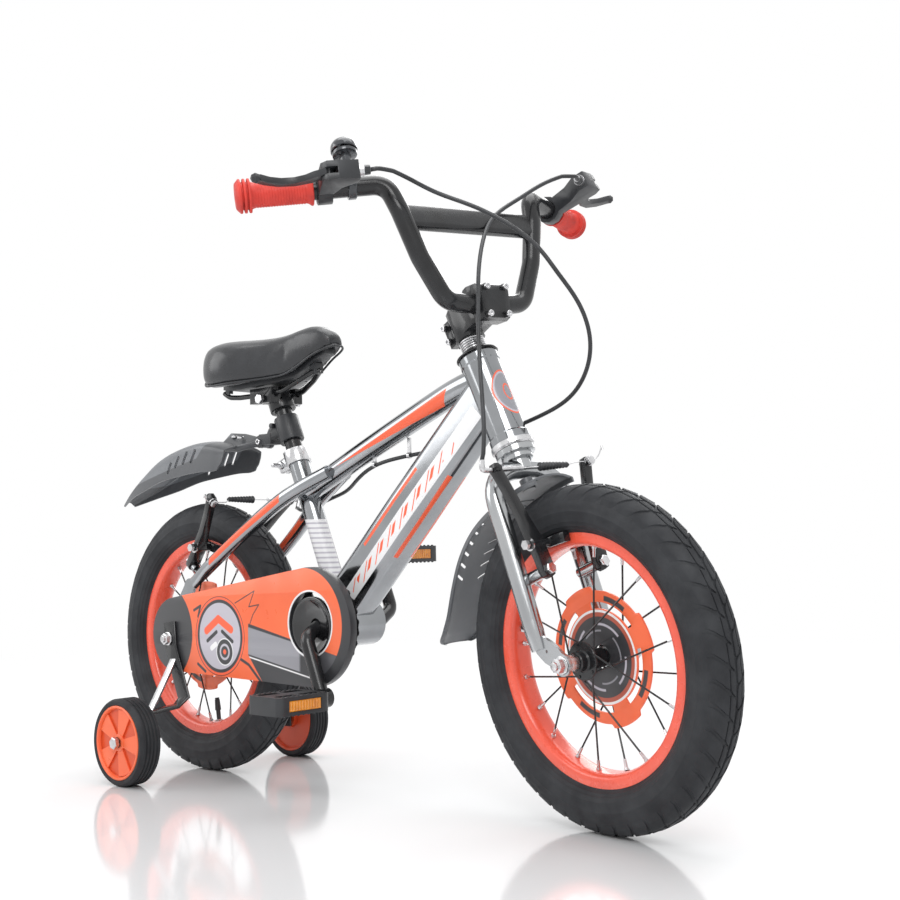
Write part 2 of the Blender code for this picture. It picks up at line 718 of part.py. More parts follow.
finish("stem", make_stem(), steering, "black_metal")
finish("stem_face_plate", make_face_plate(), steering, "black_metal")

bar_half = [(BAR_CLAMP_U, 0.0, BAR_CLAMP_S), (BAR_CLAMP_U, 0.0300, BAR_CLAMP_S),
            (0.0437, 0.0570, 0.4155), (0.0569, 0.0825, 0.4639), (0.0700, 0.0980, 0.5150), GRIP_START,
            GRIP_END]


def make_handlebar():
    half = rounded_path(bar_half, 0.040, 2)
    half[0] = Vector((BAR_CLAMP_U, 0.0, BAR_CLAMP_S))
    path = [Vector((p.x, -p.y, p.z)) for p in reversed(half[1:])] + half
    tube = sweep(path, circle(BAR_RADIUS, 10), None, (1.0, 0.0, 0.0))
    brace = sweep([(0.0676, -0.0930, 0.5090), (0.0676, 0.0930, 0.5090)],
                  rounded_box(0.014, 0.029, 0.0065, 1), None, (1.0, 0.0, 0.0))
    return fuse(tube, brace)


finish("handlebar", make_handlebar(), steering, "black_metal")


class Hand:
    """Axes of one end of the handlebar: along the bar outward, forward, and up."""

    def __init__(self, side):
        self.side = side
        start = Vector((GRIP_START[0], side * GRIP_START[1], GRIP_START[2]))
        end = Vector((GRIP_END[0], side * GRIP_END[1], GRIP_END[2]))
        self.start = start
        self.length = (end - start).length
        self.along = (end - start).normalized()
        self.up = (Vector((0.0, 0.0, 1.0)) - self.along * self.along.z).normalized()
        self.forward = self.along.cross(self.up) * side
        if self.forward.x < 0.0:
            self.forward = -self.forward

    def at(self, along, forward=0.0, up=0.0):
        return self.start + self.along * along + self.forward * forward + self.up * up

    def matrix(self, along, tilt_angle=0.0):
        """Local X forward, Y along the bar to the rider's left, Z up."""
        frame = frame_matrix(self.at(along), self.forward, self.along * self.side, self.up)
        return frame @ rotation("Y", -tilt_angle)

    def handed(self, piece):
        """A piece drawn for the left hand, mirrored where this is the right one."""
        return moved(piece, MIRROR) if self.side < 0.0 else piece

    def placed(self, piece, along, tilt_angle=0.0):
        return moved(self.handed(piece), self.matrix(along, tilt_angle))

    def point(self, along, tilt_angle, x, y, z):
        return self.matrix(along, tilt_angle) @ Vector((x, y * self.side, z))


right_hand = Hand(-1.0)
left_hand = Hand(1.0)


def make_grip(hand):
    inner = bore(BAR_RADIUS, 12)
    length = hand.length - GRIP_INNER
    profile = [(inner, 0.0), (GRIP_FLANGE_RADIUS - 0.002, 0.0), (GRIP_RADIUS, 0.0055),
               (GRIP_RADIUS, length - 0.0145)]
    for i in range(3):
        place = length - 0.0135 + 0.0050 * i
        profile += [(GRIP_FLANGE_RADIUS, place), (GRIP_FLANGE_RADIUS, place + 0.0026)]
        if i < 2:
            profile += [(GRIP_RADIUS + 0.0012, place + 0.0038)]
    profile += [(GRIP_RADIUS, length + 0.0030), (0.0, length + 0.0030),
                (0.0, length + GAP), (inner, length + GAP)]
    piece = revolve(profile, 12, closed=True)
    return hand.placed(piece, GRIP_INNER)


finish("right_grip", make_grip(right_hand), steering, "grip_rubber")
finish("left_grip", make_grip(left_hand), steering, "grip_rubber")


def make_bracket():
    """Lever bracket in hand axes: clamp band, pivot fork and adjuster barrel toward the middle."""
    band = rod((0.0, -0.008, 0.0), (0.0, 0.008, 0.0), 0.0165, 12)
    outline = [(0.0120, 0.0078), (LEVER_PIVOT_REACH, 0.0078), (LEVER_PIVOT_REACH + 0.0078, 0.0020),
               (LEVER_PIVOT_REACH + 0.0078, -0.0100), (ADJUSTER_REACH + 0.0070, -0.0320),
               (ADJUSTER_REACH - 0.0070, -0.0320), (0.0330, -0.0150), (0.0120, -0.0078)]
    arm = plate(outline, -0.0100, 0.0100)
    arm = moved(arm, rotation("X", math.radians(-90.0)))
    adjuster = rod((ADJUSTER_REACH, -ADJUSTER_END, 0.0), (ADJUSTER_REACH, -0.0300, 0.0), 0.0050, 8, 0.0060)
    hole = rod((0.0, -0.03, 0.0), (0.0, 0.03, 0.0), bore(BAR_RADIUS, 12), 12)
    mouth = box((0.040, 0.024, LEVER_SLOT), (LEVER_PIVOT_REACH, 0.0030, 0.0))
    back = box((0.012, 0.030, 0.0020), (-0.0160, 0.0, 0.0))
    band = cut(fuse(band, arm, adjuster), hole, mouth, back)
    pin = rod((LEVER_PIVOT_REACH, 0.0, -0.0090), (LEVER_PIVOT_REACH, 0.0, 0.0090), LEVER_PIN_RADIUS, 8)
    return fuse(band, pin)


def make_lever():
    """Brake lever about its pivot, blade running outward along Y and standing off the grip."""
    centre = [(0.0, 0.0), (-0.0080, 0.0110), (-0.0180, 0.0200), (-0.0240, 0.0340), (-0.0225, 0.0500),
              (-0.0140, 0.0640), (-0.0020, 0.0750)]
    widths = [0.0062, 0.0068, 0.0066, 0.0058, 0.0052, 0.0050, 0.0050]
    outer = []
    inner = []
    for i, (x, y) in enumerate(centre):
        before = Vector(centre[max(0, i - 1)])
        after = Vector(centre[min(len(centre) - 1, i + 1)])
        run = (after - before).normalized()
        side = Vector((run.y, -run.x))
        outer.append((x + side.x * widths[i], y + side.y * widths[i]))
        inner.append((x - side.x * widths[i], y - side.y * widths[i]))
    outline = outer + list(reversed(inner))
    heel = [(-0.0058, -0.0015), (-0.0022, -0.0058)]
    blade = plate(heel + outline, -LEVER_HALF, LEVER_HALF)
    blade = moved(blade, frame_matrix((0.0, 0.0, 0.0), (1.0, 0.0, 0.0), (0.0, 0.0, -1.0), (0.0, 1.0, 0.0)))
    ball = [(0.0, -0.0058), (0.0040, -0.0042), (0.0058, 0.0), (0.0040, 0.0042), (0.0, 0.0058)]
    tip = moved(revolve(ball, 8), translate((-0.0005, 0.0765, 0.0)))
    eye = rod((0.0, 0.0, -0.02), (0.0, 0.0, 0.02), bore(LEVER_PIN_RADIUS, 8), 8)
    return cut(fuse(blade, tip), eye)


for hand, lever_tilt, label in ((right_hand, LEVER_TILT_RIGHT, "right"),
                                (left_hand, LEVER_TILT_LEFT, "left")):
    place = hand.matrix(BRACKET_PLACE, lever_tilt)
    bracket = hand.placed(make_bracket(), BRACKET_PLACE, lever_tilt)
    finish(label + "_lever_bracket", bracket, steering, "black_plastic")
    lever_body = body(label + "_lever_body", steering, place @ translate((LEVER_PIVOT_REACH, 0.0, 0.0)))
    finish(label + "_brake_lever", hand.handed(make_lever()), lever_body, "black_plastic")


# bell
BELL_BASE = 0.0410
BELL_PIN = Vector((0.0, 0.0225, BELL_BASE + 0.0020))
QUARTER_TURN = rotation("Z", math.radians(90.0))
bell_frame = right_hand.matrix(BELL_PLACE)


def make_bell():
    band = rod((0.0, -0.0045, 0.0), (0.0, 0.0045, 0.0), 0.0138, 10)
    neck = rod((0.0, 0.0, 0.0120), (0.0, 0.0, BELL_BASE + 0.001), 0.0060, 8)
    base = rod((0.0, 0.0, BELL_BASE), (0.0, 0.0, BELL_BASE + 0.0055), 0.0140, 12)
    ear = box((0.0070, 0.0160, 0.0026), (0.0, 0.0180, BELL_BASE - 0.0012))
    pin = rod(BELL_PIN - Vector((0.0, 0.0, 0.0025)), BELL_PIN + Vector((0.0, 0.0, 0.0040)), 0.0018, 8)
    lug = moved(fuse(ear, pin), QUARTER_TURN)
    low = BELL_BASE + 0.0085
    dome = [(0.0, low + 0.0100), (0.0090, low + 0.0080), (0.0135, low + 0.0020), (0.0138, low - 0.0015),
            (0.0152, low - 0.0015), (0.0150, low + 0.0035), (0.0118, low + 0.0090), (0.0065, low + 0.0123),
            (0.0, low + 0.0135)]
    dome = moved(revolve(dome, 12), rotation("X", math.radians(90.0)))
    post = rod((0.0, 0.0, BELL_BASE), (0.0, 0.0, low + 0.0115), 0.0022, 6)
    hole = rod((0.0, -0.02, 0.0), (0.0, 0.02, 0.0), bore(BAR_RADIUS, 12), 12)
    return cut(fuse(band, neck, base, lug, post, dome), hole)


finish("bell", moved(make_bell(), bell_frame), steering, "bell_cap")
bell_lever_body = body("bell_lever_body", steering, bell_frame @ QUARTER_TURN @ translate(BELL_PIN))


def make_bell_lever():
    """Thumb lever turning on the upright pin beside the bell base."""
    collar = rod((0.0, 0.0, -0.0016), (0.0, 0.0, 0.0022), 0.0052, 12)
    thumb = sweep([(0.0, 0.0040, 0.0), (0.0080, 0.0090, 0.0), (0.0150, 0.0080, 0.0)],
                  rounded_box(0.0060, 0.0032, 0.0012, 1), None, (1.0, 0.0, 0.0))
    return cut(fuse(collar, thumb), rod((0.0, 0.0, -0.01), (0.0, 0.0, 0.01), bore(0.0018, 8), 8))


finish("bell_lever", make_bell_lever(), bell_lever_body, "bell_cap")


# brakes
def rim_offset():
    return BRAKE_PIVOT_SPREAD - RIM_HALF_WIDTH - BRAKE_PAD_CLEAR


def make_brake_arm(pad_turn, anchor):
    """Arm for the left side: X along its pivot, Y outward, Z along the arm; pad on the inner side."""
    centre = [(0.0, 0.0), (0.0015, 0.0150), (0.0035, 0.0300), (0.0110, 0.0600), (0.0185, 0.0880),
              (0.0270, BRAKE_ARM_LENGTH)]
    widths = [0.0085, 0.0080, 0.0085, 0.0055, 0.0048, 0.0052]
    outer = []
    inner = []
    for i, (y, z) in enumerate(centre):
        before = Vector(centre[max(0, i - 1)])
        after = Vector(centre[min(len(centre) - 1, i + 1)])
        run = (after - before).normalized()
        outer.append((y + run.y * widths[i], z - run.x * widths[i]))
        inner.append((y - run.y * widths[i], z + run.x * widths[i]))
    foot = [(-0.0060, -0.0062), (0.0, -0.0088), (0.0060, -0.0062)]
    top = [(centre[-1][0] + offset, centre[-1][1] + 0.0052) for offset in (0.0030, -0.0030)]
    outline = foot + outer + top + list(reversed(inner))
    arm = plate(outline, -BRAKE_ARM_THICK / 2.0, BRAKE_ARM_THICK / 2.0)
    arm = moved(arm, frame_matrix((0.0, 0.0, 0.0), (0.0, 1.0, 0.0), (1.0, 0.0, 0.0), (0.0, 0.0, 1.0)))
    face = -rim_offset()
    back = face + BRAKE_PAD_THICK
    turn = rotation("Y", pad_turn)
    pad = plate([(-0.0250, 0.0052), (0.0250, 0.0052), (0.0250, -0.0052), (-0.0250, -0.0052)], face, back)
    post = rod((0.0, back - 0.001, 0.0), (0.0, 0.0160, 0.0), 0.0052, 6)
    shoe = moved(fuse(pad, post), translate((0.0, 0.0, BRAKE_PAD_UP)) @ turn)
    bolt = rod((-BRAKE_ARM_THICK / 2.0 - 0.002, centre[-1][0], BRAKE_ARM_LENGTH - 0.001),
               (BRAKE_ARM_THICK / 2.0 + 0.0035, centre[-1][0], BRAKE_ARM_LENGTH - 0.001), anchor, 8)
    hole = rod((-0.02, 0.0, 0.0), (0.02, 0.0, 0.0), bore(STUD_RADIUS, 6), 6)
    return cut(fuse(arm, shoe, bolt), hole)


arm_middle = 0.0295 + GAP + BRAKE_ARM_THICK / 2.0
front_pivot = boss_base + boss_forward * arm_middle
front_pad_turn = math.radians(6.0)
rear_arm_axis = Vector((math.cos(REAR_ARM_ANGLE), 0.0, math.sin(REAR_ARM_ANGLE)))
rear_boss_axis = Vector((-math.sin(REAR_ARM_ANGLE), 0.0, math.cos(REAR_ARM_ANGLE)))
rear_pivot = Vector((REAR_PIVOT[0], BRAKE_PIVOT_SPREAD, REAR_PIVOT[1]))
front_arm_axis = Vector((math.sin(BRAKE_LEAN), 0.0, math.cos(BRAKE_LEAN)))
pad_spot = rear_pivot + rear_arm_axis * BRAKE_PAD_UP - AXLE
rear_pad_turn = math.atan2(pad_spot.x, pad_spot.z) - math.atan2(rear_arm_axis.x, rear_arm_axis.z)

for label, parent, origin, x_axis, z_axis, turn in (
        ("front", steering, front_pivot, boss_forward, front_arm_axis, front_pad_turn),
        ("rear", root, rear_pivot, rear_boss_axis, rear_arm_axis, -rear_pad_turn)):
    left_frame = frame_matrix(origin, x_axis, (0.0, 1.0, 0.0), z_axis)
    right_frame = frame_matrix((origin.x, -origin.y, origin.z), x_axis, (0.0, 1.0, 0.0), z_axis)
    anchors = {"left": 0.0042, "right": 0.0036}
    for side, matrix in (("left", left_frame), ("right", right_frame)):
        arm_body = body(label + "_" + side + "_arm_body", parent, matrix)
        piece = make_brake_arm(turn, anchors[side])
        if side == "right":
            piece = moved(piece, MIRROR)
        finish(label + "_" + side + "_brake_arm", piece, arm_body, "black_metal")


# frame
def head_rod(low, high, radius, sides=16):
    return moved(rod((0.0, 0.0, low), (0.0, 0.0, high), radius, sides), HEAD)


top_points = [(0.5300, 0.0, 0.4925), (0.5000, 0.0, 0.4890), (0.4700, 0.0, 0.4810), (0.4400, 0.0, 0.4700),
              (0.4000, 0.0, 0.4540), (0.3520, 0.0, 0.4345), (0.2920, 0.0, 0.4095), (0.2060, 0.0, 0.3725)]
down_start = Vector((0.5170, 0.0, 0.4680))
down_end = Vector((0.2735, 0.0, 0.2236))


def top_tube_body(extra=0.0):
    path = smooth_path(top_points, 0.045)
    scales = [1.0 + extra / TOP_TUBE_RADIUS - 0.13 * (i / (len(path) - 1)) ** 2 for i in range(len(path))]
    return sweep(path, circle(TOP_TUBE_RADIUS, 14), scales)


def down_tube_body(extra=0.0):
    width = DOWN_TUBE_WIDTH + 2.0 * extra
    height = DOWN_TUBE_HEIGHT + 2.0 * extra
    section = rounded_box(width, height, DOWN_TUBE_CORNER + extra, 4)
    return sweep([down_start, down_start.lerp(down_end, 0.5), down_end], section,
                 [(0.76, 1.0), (1.0, 1.03), (1.0, 1.05)])


def seat_tube_rod(radius, low, high, sides=16):
    return rod(on_seat_tube(low), on_seat_tube(high), radius, sides)


def shell_rod(radius, half=SHELL_HALF, sides=16):
    return moved(rod((0.0, -half, 0.0), (0.0, half, 0.0), radius, sides), translate(BRACKET))


HEAD_LIP = HEAD_TUBE_RADIUS + 0.0012
head_profile = [(HEAD_TUBE_BORE, HEAD_TUBE_BOTTOM), (HEAD_LIP, HEAD_TUBE_BOTTOM),
                (HEAD_LIP, HEAD_TUBE_BOTTOM + 0.009), (HEAD_TUBE_RADIUS, HEAD_TUBE_BOTTOM + 0.010),
                (HEAD_TUBE_RADIUS, HEAD_TUBE_TOP - 0.010), (HEAD_LIP, HEAD_TUBE_TOP - 0.009),
                (HEAD_LIP, HEAD_TUBE_TOP), (HEAD_TUBE_BORE, HEAD_TUBE_TOP)]
finish("head_tube", moved(upright(head_profile, 16), HEAD), root, "frame_paint")

cup_bore = STEERER_RADIUS + 0.0008
lower_cup = [(cup_bore, HEAD_TUBE_BOTTOM - CUP_DROP), (0.0230, HEAD_TUBE_BOTTOM - CUP_DROP),
             (CUP_RADIUS, HEAD_TUBE_BOTTOM - CUP_DROP + 0.002), (CUP_RADIUS, HEAD_TUBE_BOTTOM - GAP),
             (HEAD_TUBE_BORE - GAP, HEAD_TUBE_BOTTOM - GAP),
             (HEAD_TUBE_BORE - GAP, HEAD_TUBE_BOTTOM + 0.010), (cup_bore, HEAD_TUBE_BOTTOM + 0.010)]
finish("lower_headset_cup", moved(upright(lower_cup, 16), HEAD), root, "steel")
upper_cup = [(cup_bore, HEAD_TUBE_TOP - 0.010), (HEAD_TUBE_BORE - GAP, HEAD_TUBE_TOP - 0.010),
             (HEAD_TUBE_BORE - GAP, HEAD_TUBE_TOP + GAP), (0.0232, HEAD_TUBE_TOP + GAP),
             (0.0225, HEAD_TUBE_TOP + 0.0018), (0.0160, HEAD_TUBE_TOP + 0.0022),
             (cup_bore, HEAD_TUBE_TOP + 0.0022)]
finish("upper_headset_cup", moved(upright(upper_cup, 16), HEAD), root, "steel")

top_tube = cut(top_tube_body(), head_rod(0.25, 0.45, HEAD_LIP + GAP),
               seat_tube_rod(SEAT_TUBE_RADIUS + GAP, 0.28, 0.45), down_tube_body(GAP))
down_tube = cut(down_tube_body(), shell_rod(SHELL_RADIUS + GAP, SHELL_HALF + 0.01),
                head_rod(0.20, 0.45, HEAD_LIP + GAP), seat_tube_rod(SEAT_TUBE_RADIUS + GAP, 0.10, 0.42))
seat_lean = rotation("Y", math.atan(SEAT_TUBE_SLOPE)).to_3x3()
finish("top_tube", top_tube, root, "frame_paint")
finish("down_tube", down_tube, root, "frame_paint")

seat_tube = cut(seat_tube_rod(SEAT_TUBE_RADIUS, 0.195, SEAT_TUBE_TOP),
                shell_rod(SHELL_RADIUS + GAP, SHELL_HALF + 0.01),
                seat_tube_rod(POST_BORE, 0.270, SEAT_TUBE_TOP + 0.02))
slot_spot = on_seat_tube(SEAT_TUBE_TOP - 0.013) + seat_lean @ Vector((-0.013, 0.0, 0.0))
slot = box((0.020, 0.0022, 0.034), slot_spot, seat_lean)
finish("seat_tube", cut(seat_tube, slot), root, "frame_paint")
finish("bottom_bracket_shell", cut(shell_rod(SHELL_RADIUS), shell_rod(SHELL_BORE, SHELL_HALF + 0.01)),
       root, "frame_paint")

bearing_half = SHELL_HALF + 0.0022
bearing_bore = CRANK_ROD + 0.0008
bearing = [(bearing_bore, bearing_half), (0.0180, bearing_half), (SHELL_RADIUS - 0.0005, SHELL_HALF + GAP),
           (SHELL_BORE - GAP, SHELL_HALF + GAP)]
bearing = bearing + [(r, -y) for r, y in reversed(bearing)]
finish("bottom_bracket_bearing", moved(revolve(bearing, 16, closed=True, phase=math.pi / 16.0),
                                       translate(BRACKET)), root, "steel")


def make_stay():
    """Left half of the rear triangle: seat stay, dropout, chain stay and brake boss as one welded piece."""
    upper = [(0.2620, 0.0130, 0.3960), (0.2230, 0.0240, 0.3790), (0.1860, 0.0330, 0.3600),
             (0.1330, 0.0450, 0.3240),
             (0.0800, 0.0515, 0.2880), (0.0340, STAY_OUTER, 0.2570)]
    upper_path = smooth_path(upper, 0.060)
    last = len(upper_path) - 1
    upper_scales = [1.0 - 0.12 * i / last if i < last else (0.45, 1.05) for i in range(last + 1)]
    seat_stay = sweep(upper_path, circle(0.0098, 8), upper_scales)
    lower = [(0.2700, 0.0215, 0.2040), (0.2350, 0.0290, 0.2025), (0.1900, 0.0365, 0.2000),
             (0.1400, 0.0400, 0.1960),
             (0.0900, 0.0470, 0.1920), (0.0280, STAY_OUTER, 0.1870)]
    lower_path = smooth_path(lower, 0.060)
    last = len(lower_path) - 1
    lower_scales = [(1.0 - 0.15 * i / last, 1.0) if i < last else (0.35, 1.0) for i in range(last + 1)]
    chain_stay = sweep(lower_path, circle(0.0082, 8), lower_scales)
    top_disc = arc((0.0270, 0.2520), 0.0115, 20.0, 160.0, 4)
    outline = top_disc + [(-0.0060, 0.2200), (-0.0140, 0.1950), (-0.0150, 0.1780), (-0.0060, 0.1680),
                          (0.0080, 0.1680),
                          (0.0340, 0.1790), (0.0420, 0.1830), (0.0420, 0.1920), (0.0300, 0.1960), (0.0200,
                                                                                                   0.2050),
                          (0.0260, 0.2280)]
    dropout = plate(outline, DROPOUT_INNER, DROPOUT_OUTER, [ring_points((0.0, WHEEL_RADIUS), AXLE_BORE, 8)])
    pivot = rear_pivot - rear_boss_axis * (BRAKE_ARM_THICK / 2.0 + GAP)
    tail = rear_pivot + rear_boss_axis * (BRAKE_ARM_THICK / 2.0 + 2.0 * GAP)
    boss = rod(pivot - rear_boss_axis * 0.0140, pivot, BOSS_RADIUS, 8)
    stud = rod(pivot - rear_boss_axis * 0.002, tail + rear_boss_axis * 0.001, STUD_RADIUS, 6)
    head = rod(tail, tail + rear_boss_axis * 0.0045, BOSS_RADIUS, 6)
    tab = sweep([pivot - rear_boss_axis * 0.0080, (0.0400, 0.0480, 0.2690),
                 (0.0480, STAY_OUTER - 0.001, 0.2660)],
                circle(0.0060, 6), None, (0.0, 1.0, 0.0))
    return fuse(seat_stay, chain_stay, dropout, boss, stud, head, tab)


stay = cut(make_stay(), top_tube_body(GAP), shell_rod(SHELL_RADIUS + GAP, SHELL_HALF + 0.01),
           seat_tube_rod(SEAT_TUBE_RADIUS + GAP, 0.19, 0.42))
finish("right_rear_stay", mirrored(stay), root, "frame_paint")
finish("left_rear_stay", stay, root, "frame_paint")

collar_low = SEAT_TUBE_TOP - 0.0185
ear_spot = on_seat_tube(SEAT_TUBE_TOP - 0.0100) + seat_lean @ Vector((-0.0220, 0.0, 0.0))
collar = fuse(seat_tube_rod(SEAT_TUBE_RADIUS + 0.0032, collar_low, SEAT_TUBE_TOP - 0.001, 16),
              box((0.018, 0.0140, 0.0160), ear_spot, seat_lean))
collar = cut(collar, seat_tube_rod(bore(SEAT_TUBE_RADIUS, 16), collar_low - 0.02, SEAT_TUBE_TOP + 0.02, 16),
             box((0.030, 0.0030, 0.04), ear_spot + seat_lean @ Vector((-0.008, 0.0, 0.001)), seat_lean))
bolt_at = on_seat_tube(SEAT_TUBE_TOP - 0.0100) + seat_lean @ Vector((-0.0240, 0.0, 0.0))
collar = fuse(collar, rod(bolt_at - Vector((0.0, 0.0240, 0.0)), bolt_at + Vector((0.0, 0.0200, 0.0)),
                          0.0028, 8),
              rod(bolt_at - Vector((0.0, 0.0120, 0.0)), bolt_at - Vector((0.0, 0.0068, 0.0)), 0.0050, 6),
              rod(bolt_at + Vector((0.0, 0.0068, 0.0)), bolt_at + Vector((0.0, 0.0115, 0.0)), 0.0055, 12))
finish("seat_clamp", collar, root, "steel")


# rear axle and drive
def washer_nut(start):
    return [(start, start + 0.0016, 0.0095, 8), (start + 0.0014, start + 0.0070, 0.0080, 6)]


plate_out = STAB_PLATE + STAB_PLATE_THICK
right_stack = [(DROPOUT_OUTER + GAP, GUARD_FACE - GUARD_WALL - GAP, 0.0080, 8)] + washer_nut(plate_out + GAP)
left_stack = [(DROPOUT_OUTER + GAP, STAB_PLATE - GAP, 0.0080, 8)] + washer_nut(plate_out + GAP)
rear_axle = make_axle(DROPOUT_INNER, plate_out + 0.0100, plate_out + 0.0100, right_stack, left_stack)
finish("rear_axle", moved(rear_axle, translate(AXLE)), root, "steel")


def pitch_radius(teeth):
    return CHAIN_PITCH / (2.0 * math.sin(math.pi / teeth))


def toothed(teeth, per_tooth=2):
    tip = pitch_radius(teeth) * math.cos(math.pi / teeth) - CHAIN_HALF_HEIGHT - FIT
    outline = []
    for i in range(teeth * per_tooth):
        angle = 2.0 * math.pi * i / (teeth * per_tooth)
        radius = tip if i % per_tooth == 0 else tip - 0.0030
        outline.append((radius * math.cos(angle), radius * math.sin(angle)))
    return outline


def make_chainring():
    holes = [ring_points((0.0, 0.0), CRANK_ROD + FIT, 10)]
    for i in range(5):
        middle = 90.0 + 72.0 * i
        holes.append(arc((0.0, 0.0), 0.0430, middle - 27.0, middle + 27.0, 3)
                     + arc((0.0, 0.0), 0.0200, middle + 20.0, middle - 20.0, 1))
    return plate(toothed(RING_TEETH), CHAIN_LINE - 0.0014, CHAIN_LINE + 0.0014, holes)


finish("chainring", make_chainring(), crank_body, "black_metal")
hub_edge = -HUB_HALF_LENGTH - GAP
freewheel_bore = bore(CONE_RADIUS, 12)
freewheel_hole = [ring_points((0.0, 0.0), freewheel_bore, 12)]
sprocket = plate(toothed(SPROCKET_TEETH), CHAIN_LINE - 0.0014, CHAIN_LINE + 0.0014, freewheel_hole)
sleeve = [(freewheel_bore, CHAIN_LINE - 0.0025), (0.0165, CHAIN_LINE - 0.0025), (0.0165, hub_edge),
          (freewheel_bore, hub_edge)]
finish("rear_sprocket", fuse(sprocket, revolve(sleeve, 12, closed=True)), freewheel, "steel")


def make_chain():
    """Closed loop of straight links round both toothed wheels, one flat per link."""
    big = pitch_radius(RING_TEETH)
    small = pitch_radius(SPROCKET_TEETH)
    run = BRACKET - AXLE
    distance = math.hypot(run.x, run.z)
    slope = math.atan2(run.z, run.x)
    spread = math.acos((big - small) / distance)
    loop = []
    steps = 24
    wrap = math.pi - spread
    for centre, radius, start, end in ((BRACKET, big, slope - wrap, slope + wrap),
                                       (AXLE, small, slope + wrap, slope + math.pi + spread)):
        for i in range(steps + 1):
            angle = start + (end - start) * i / steps
            loop.append(centre + radius * Vector((math.cos(angle), 0.0, math.sin(angle))))
    loop.append(loop[0])
    lengths = [0.0]
    for a, b in zip(loop, loop[1:]):
        lengths.append(lengths[-1] + (b - a).length)
    links = round(lengths[-1] / CHAIN_PITCH)
    outer = []
    inner = []
    for i in range(links):
        want = lengths[-1] * i / links
        at = [float(np.interp(want, lengths, [p[k] for p in loop])) for k in (0, 2)]
        ahead = [float(np.interp(want + 0.001, lengths, [p[k] for p in loop])) for k in (0, 2)]
        back = [float(np.interp(want - 0.001, lengths, [p[k] for p in loop])) for k in (0, 2)]
        run = Vector((ahead[0] - back[0], ahead[1] - back[1])).normalized()
        outer.append((at[0] + run.y * CHAIN_HALF_HEIGHT, at[1] - run.x * CHAIN_HALF_HEIGHT))
        inner.append((at[0] - run.y * CHAIN_HALF_HEIGHT, at[1] + run.x * CHAIN_HALF_HEIGHT))
    return plate(outer, CHAIN_LINE - CHAIN_HALF_WIDTH, CHAIN_LINE + CHAIN_HALF_WIDTH, [inner])


finish("chain", make_chain(), root, "black_metal")


def make_crank():
    """One bent forging: right arm, spindle through the bracket, left arm; pedal spindles screwed in."""
    arm = crank_reach.normalized()
    right_end = arm * CRANK_LENGTH - Vector((0.0, CRANK_PLANE, 0.0))
    left_end = -arm * CRANK_LENGTH + Vector((0.0, CRANK_PLANE, 0.0))
    path = rounded_path([right_end + arm * 0.004, arm * 0.014 - Vector((0.0, CRANK_PLANE, 0.0)),
                         Vector((0.0, -0.052, 0.0)), Vector((0.0, 0.052, 0.0)),
                         -arm * 0.014 + Vector((0.0, CRANK_PLANE, 0.0)), left_end - arm * 0.004], 0.016, 2)
    across = arm.cross(Vector((0.0, 1.0, 0.0)))
    rodded = sweep(path, circle(CRANK_ROD, 10), None, across)
    pieces = [rodded]
    for end, sign in ((right_end, -1.0), (left_end, 1.0)):
        away = Vector((0.0, sign, 0.0))
        pieces.append(rod(end - away * 0.0080, end + away * 0.0080, 0.0115, 10))
        pieces.append(rod(end, end + away * (PEDAL_CENTRE - CRANK_PLANE + PEDAL_HALF_WIDTH - 0.006),
                          SPINDLE_RADIUS, 8))
    flange = rod((0.0, CHAIN_LINE - 0.0018 - GAP, 0.0), (0.0, CHAIN_LINE - 0.0060, 0.0), 0.0130, 10)
    return fuse(*pieces, flange)


finish("crank", make_crank(), crank_body, "black_metal")


def make_pedal():
    """Block pedal with four bays, reflector pockets front and back, and a blind spindle bore."""
    outline = rounded_box(2.0 * PEDAL_HALF_LENGTH, 2.0 * PEDAL_HALF_WIDTH, 0.008, 2)
    bays = []
    for sx in (-1.0, 1.0):
        for sy in (-1.0, 1.0):
            cx = sx * 0.0155
            cy = sy * 0.0175
            corners = ((-1, -1), (1, -1), (1, 1), (-1, 1))
            bays.append([(cx + dx * 0.0062, cy + dy * 0.0140) for dx, dy in corners])
    block = plate(outline, -PEDAL_HALF_HEIGHT, PEDAL_HALF_HEIGHT, bays)
    block = moved(block, rotation("X", math.radians(90.0)))
    pockets = []
    for sx in (-1.0, 1.0):
        pockets.append(box((0.0040, 0.0480, 0.0130), (sx * PEDAL_HALF_LENGTH, 0.0, 0.0)))
    socket = rod((0.0, -PEDAL_HALF_WIDTH - 0.01, 0.0), (0.0, PEDAL_HALF_WIDTH - 0.004, 0.0),
                 bore(SPINDLE_RADIUS, 8), 8)
    return cut(block, *pockets, socket)


finish("left_pedal", make_pedal(), left_pedal_body, "black_plastic")
finish("right_pedal", moved(make_pedal(), MIRROR), right_pedal_body, "black_plastic")


# chain guard
def guard_outline(inset=0.0):
    """Outline of the guard: a large and a small arc joined by two straight edges."""
    front = (BRACKET.x, BRACKET.z - 0.001)
    rear = GUARD_REAR_CENTRE
    big = GUARD_FRONT_RADIUS - inset
    small = GUARD_REAR_RADIUS - inset
    run = (front[0] - rear[0], front[1] - rear[1])
    slope = math.degrees(math.atan2(run[1], run[0]))
    open_angle = math.degrees(math.acos((big - small) / math.hypot(*run)))
    return (arc(front, big, slope - (180.0 - open_angle), slope + (180.0 - open_angle), 11)
            + arc(rear, small, slope + (180.0 - open_angle), slope + (180.0 + open_angle), 6))


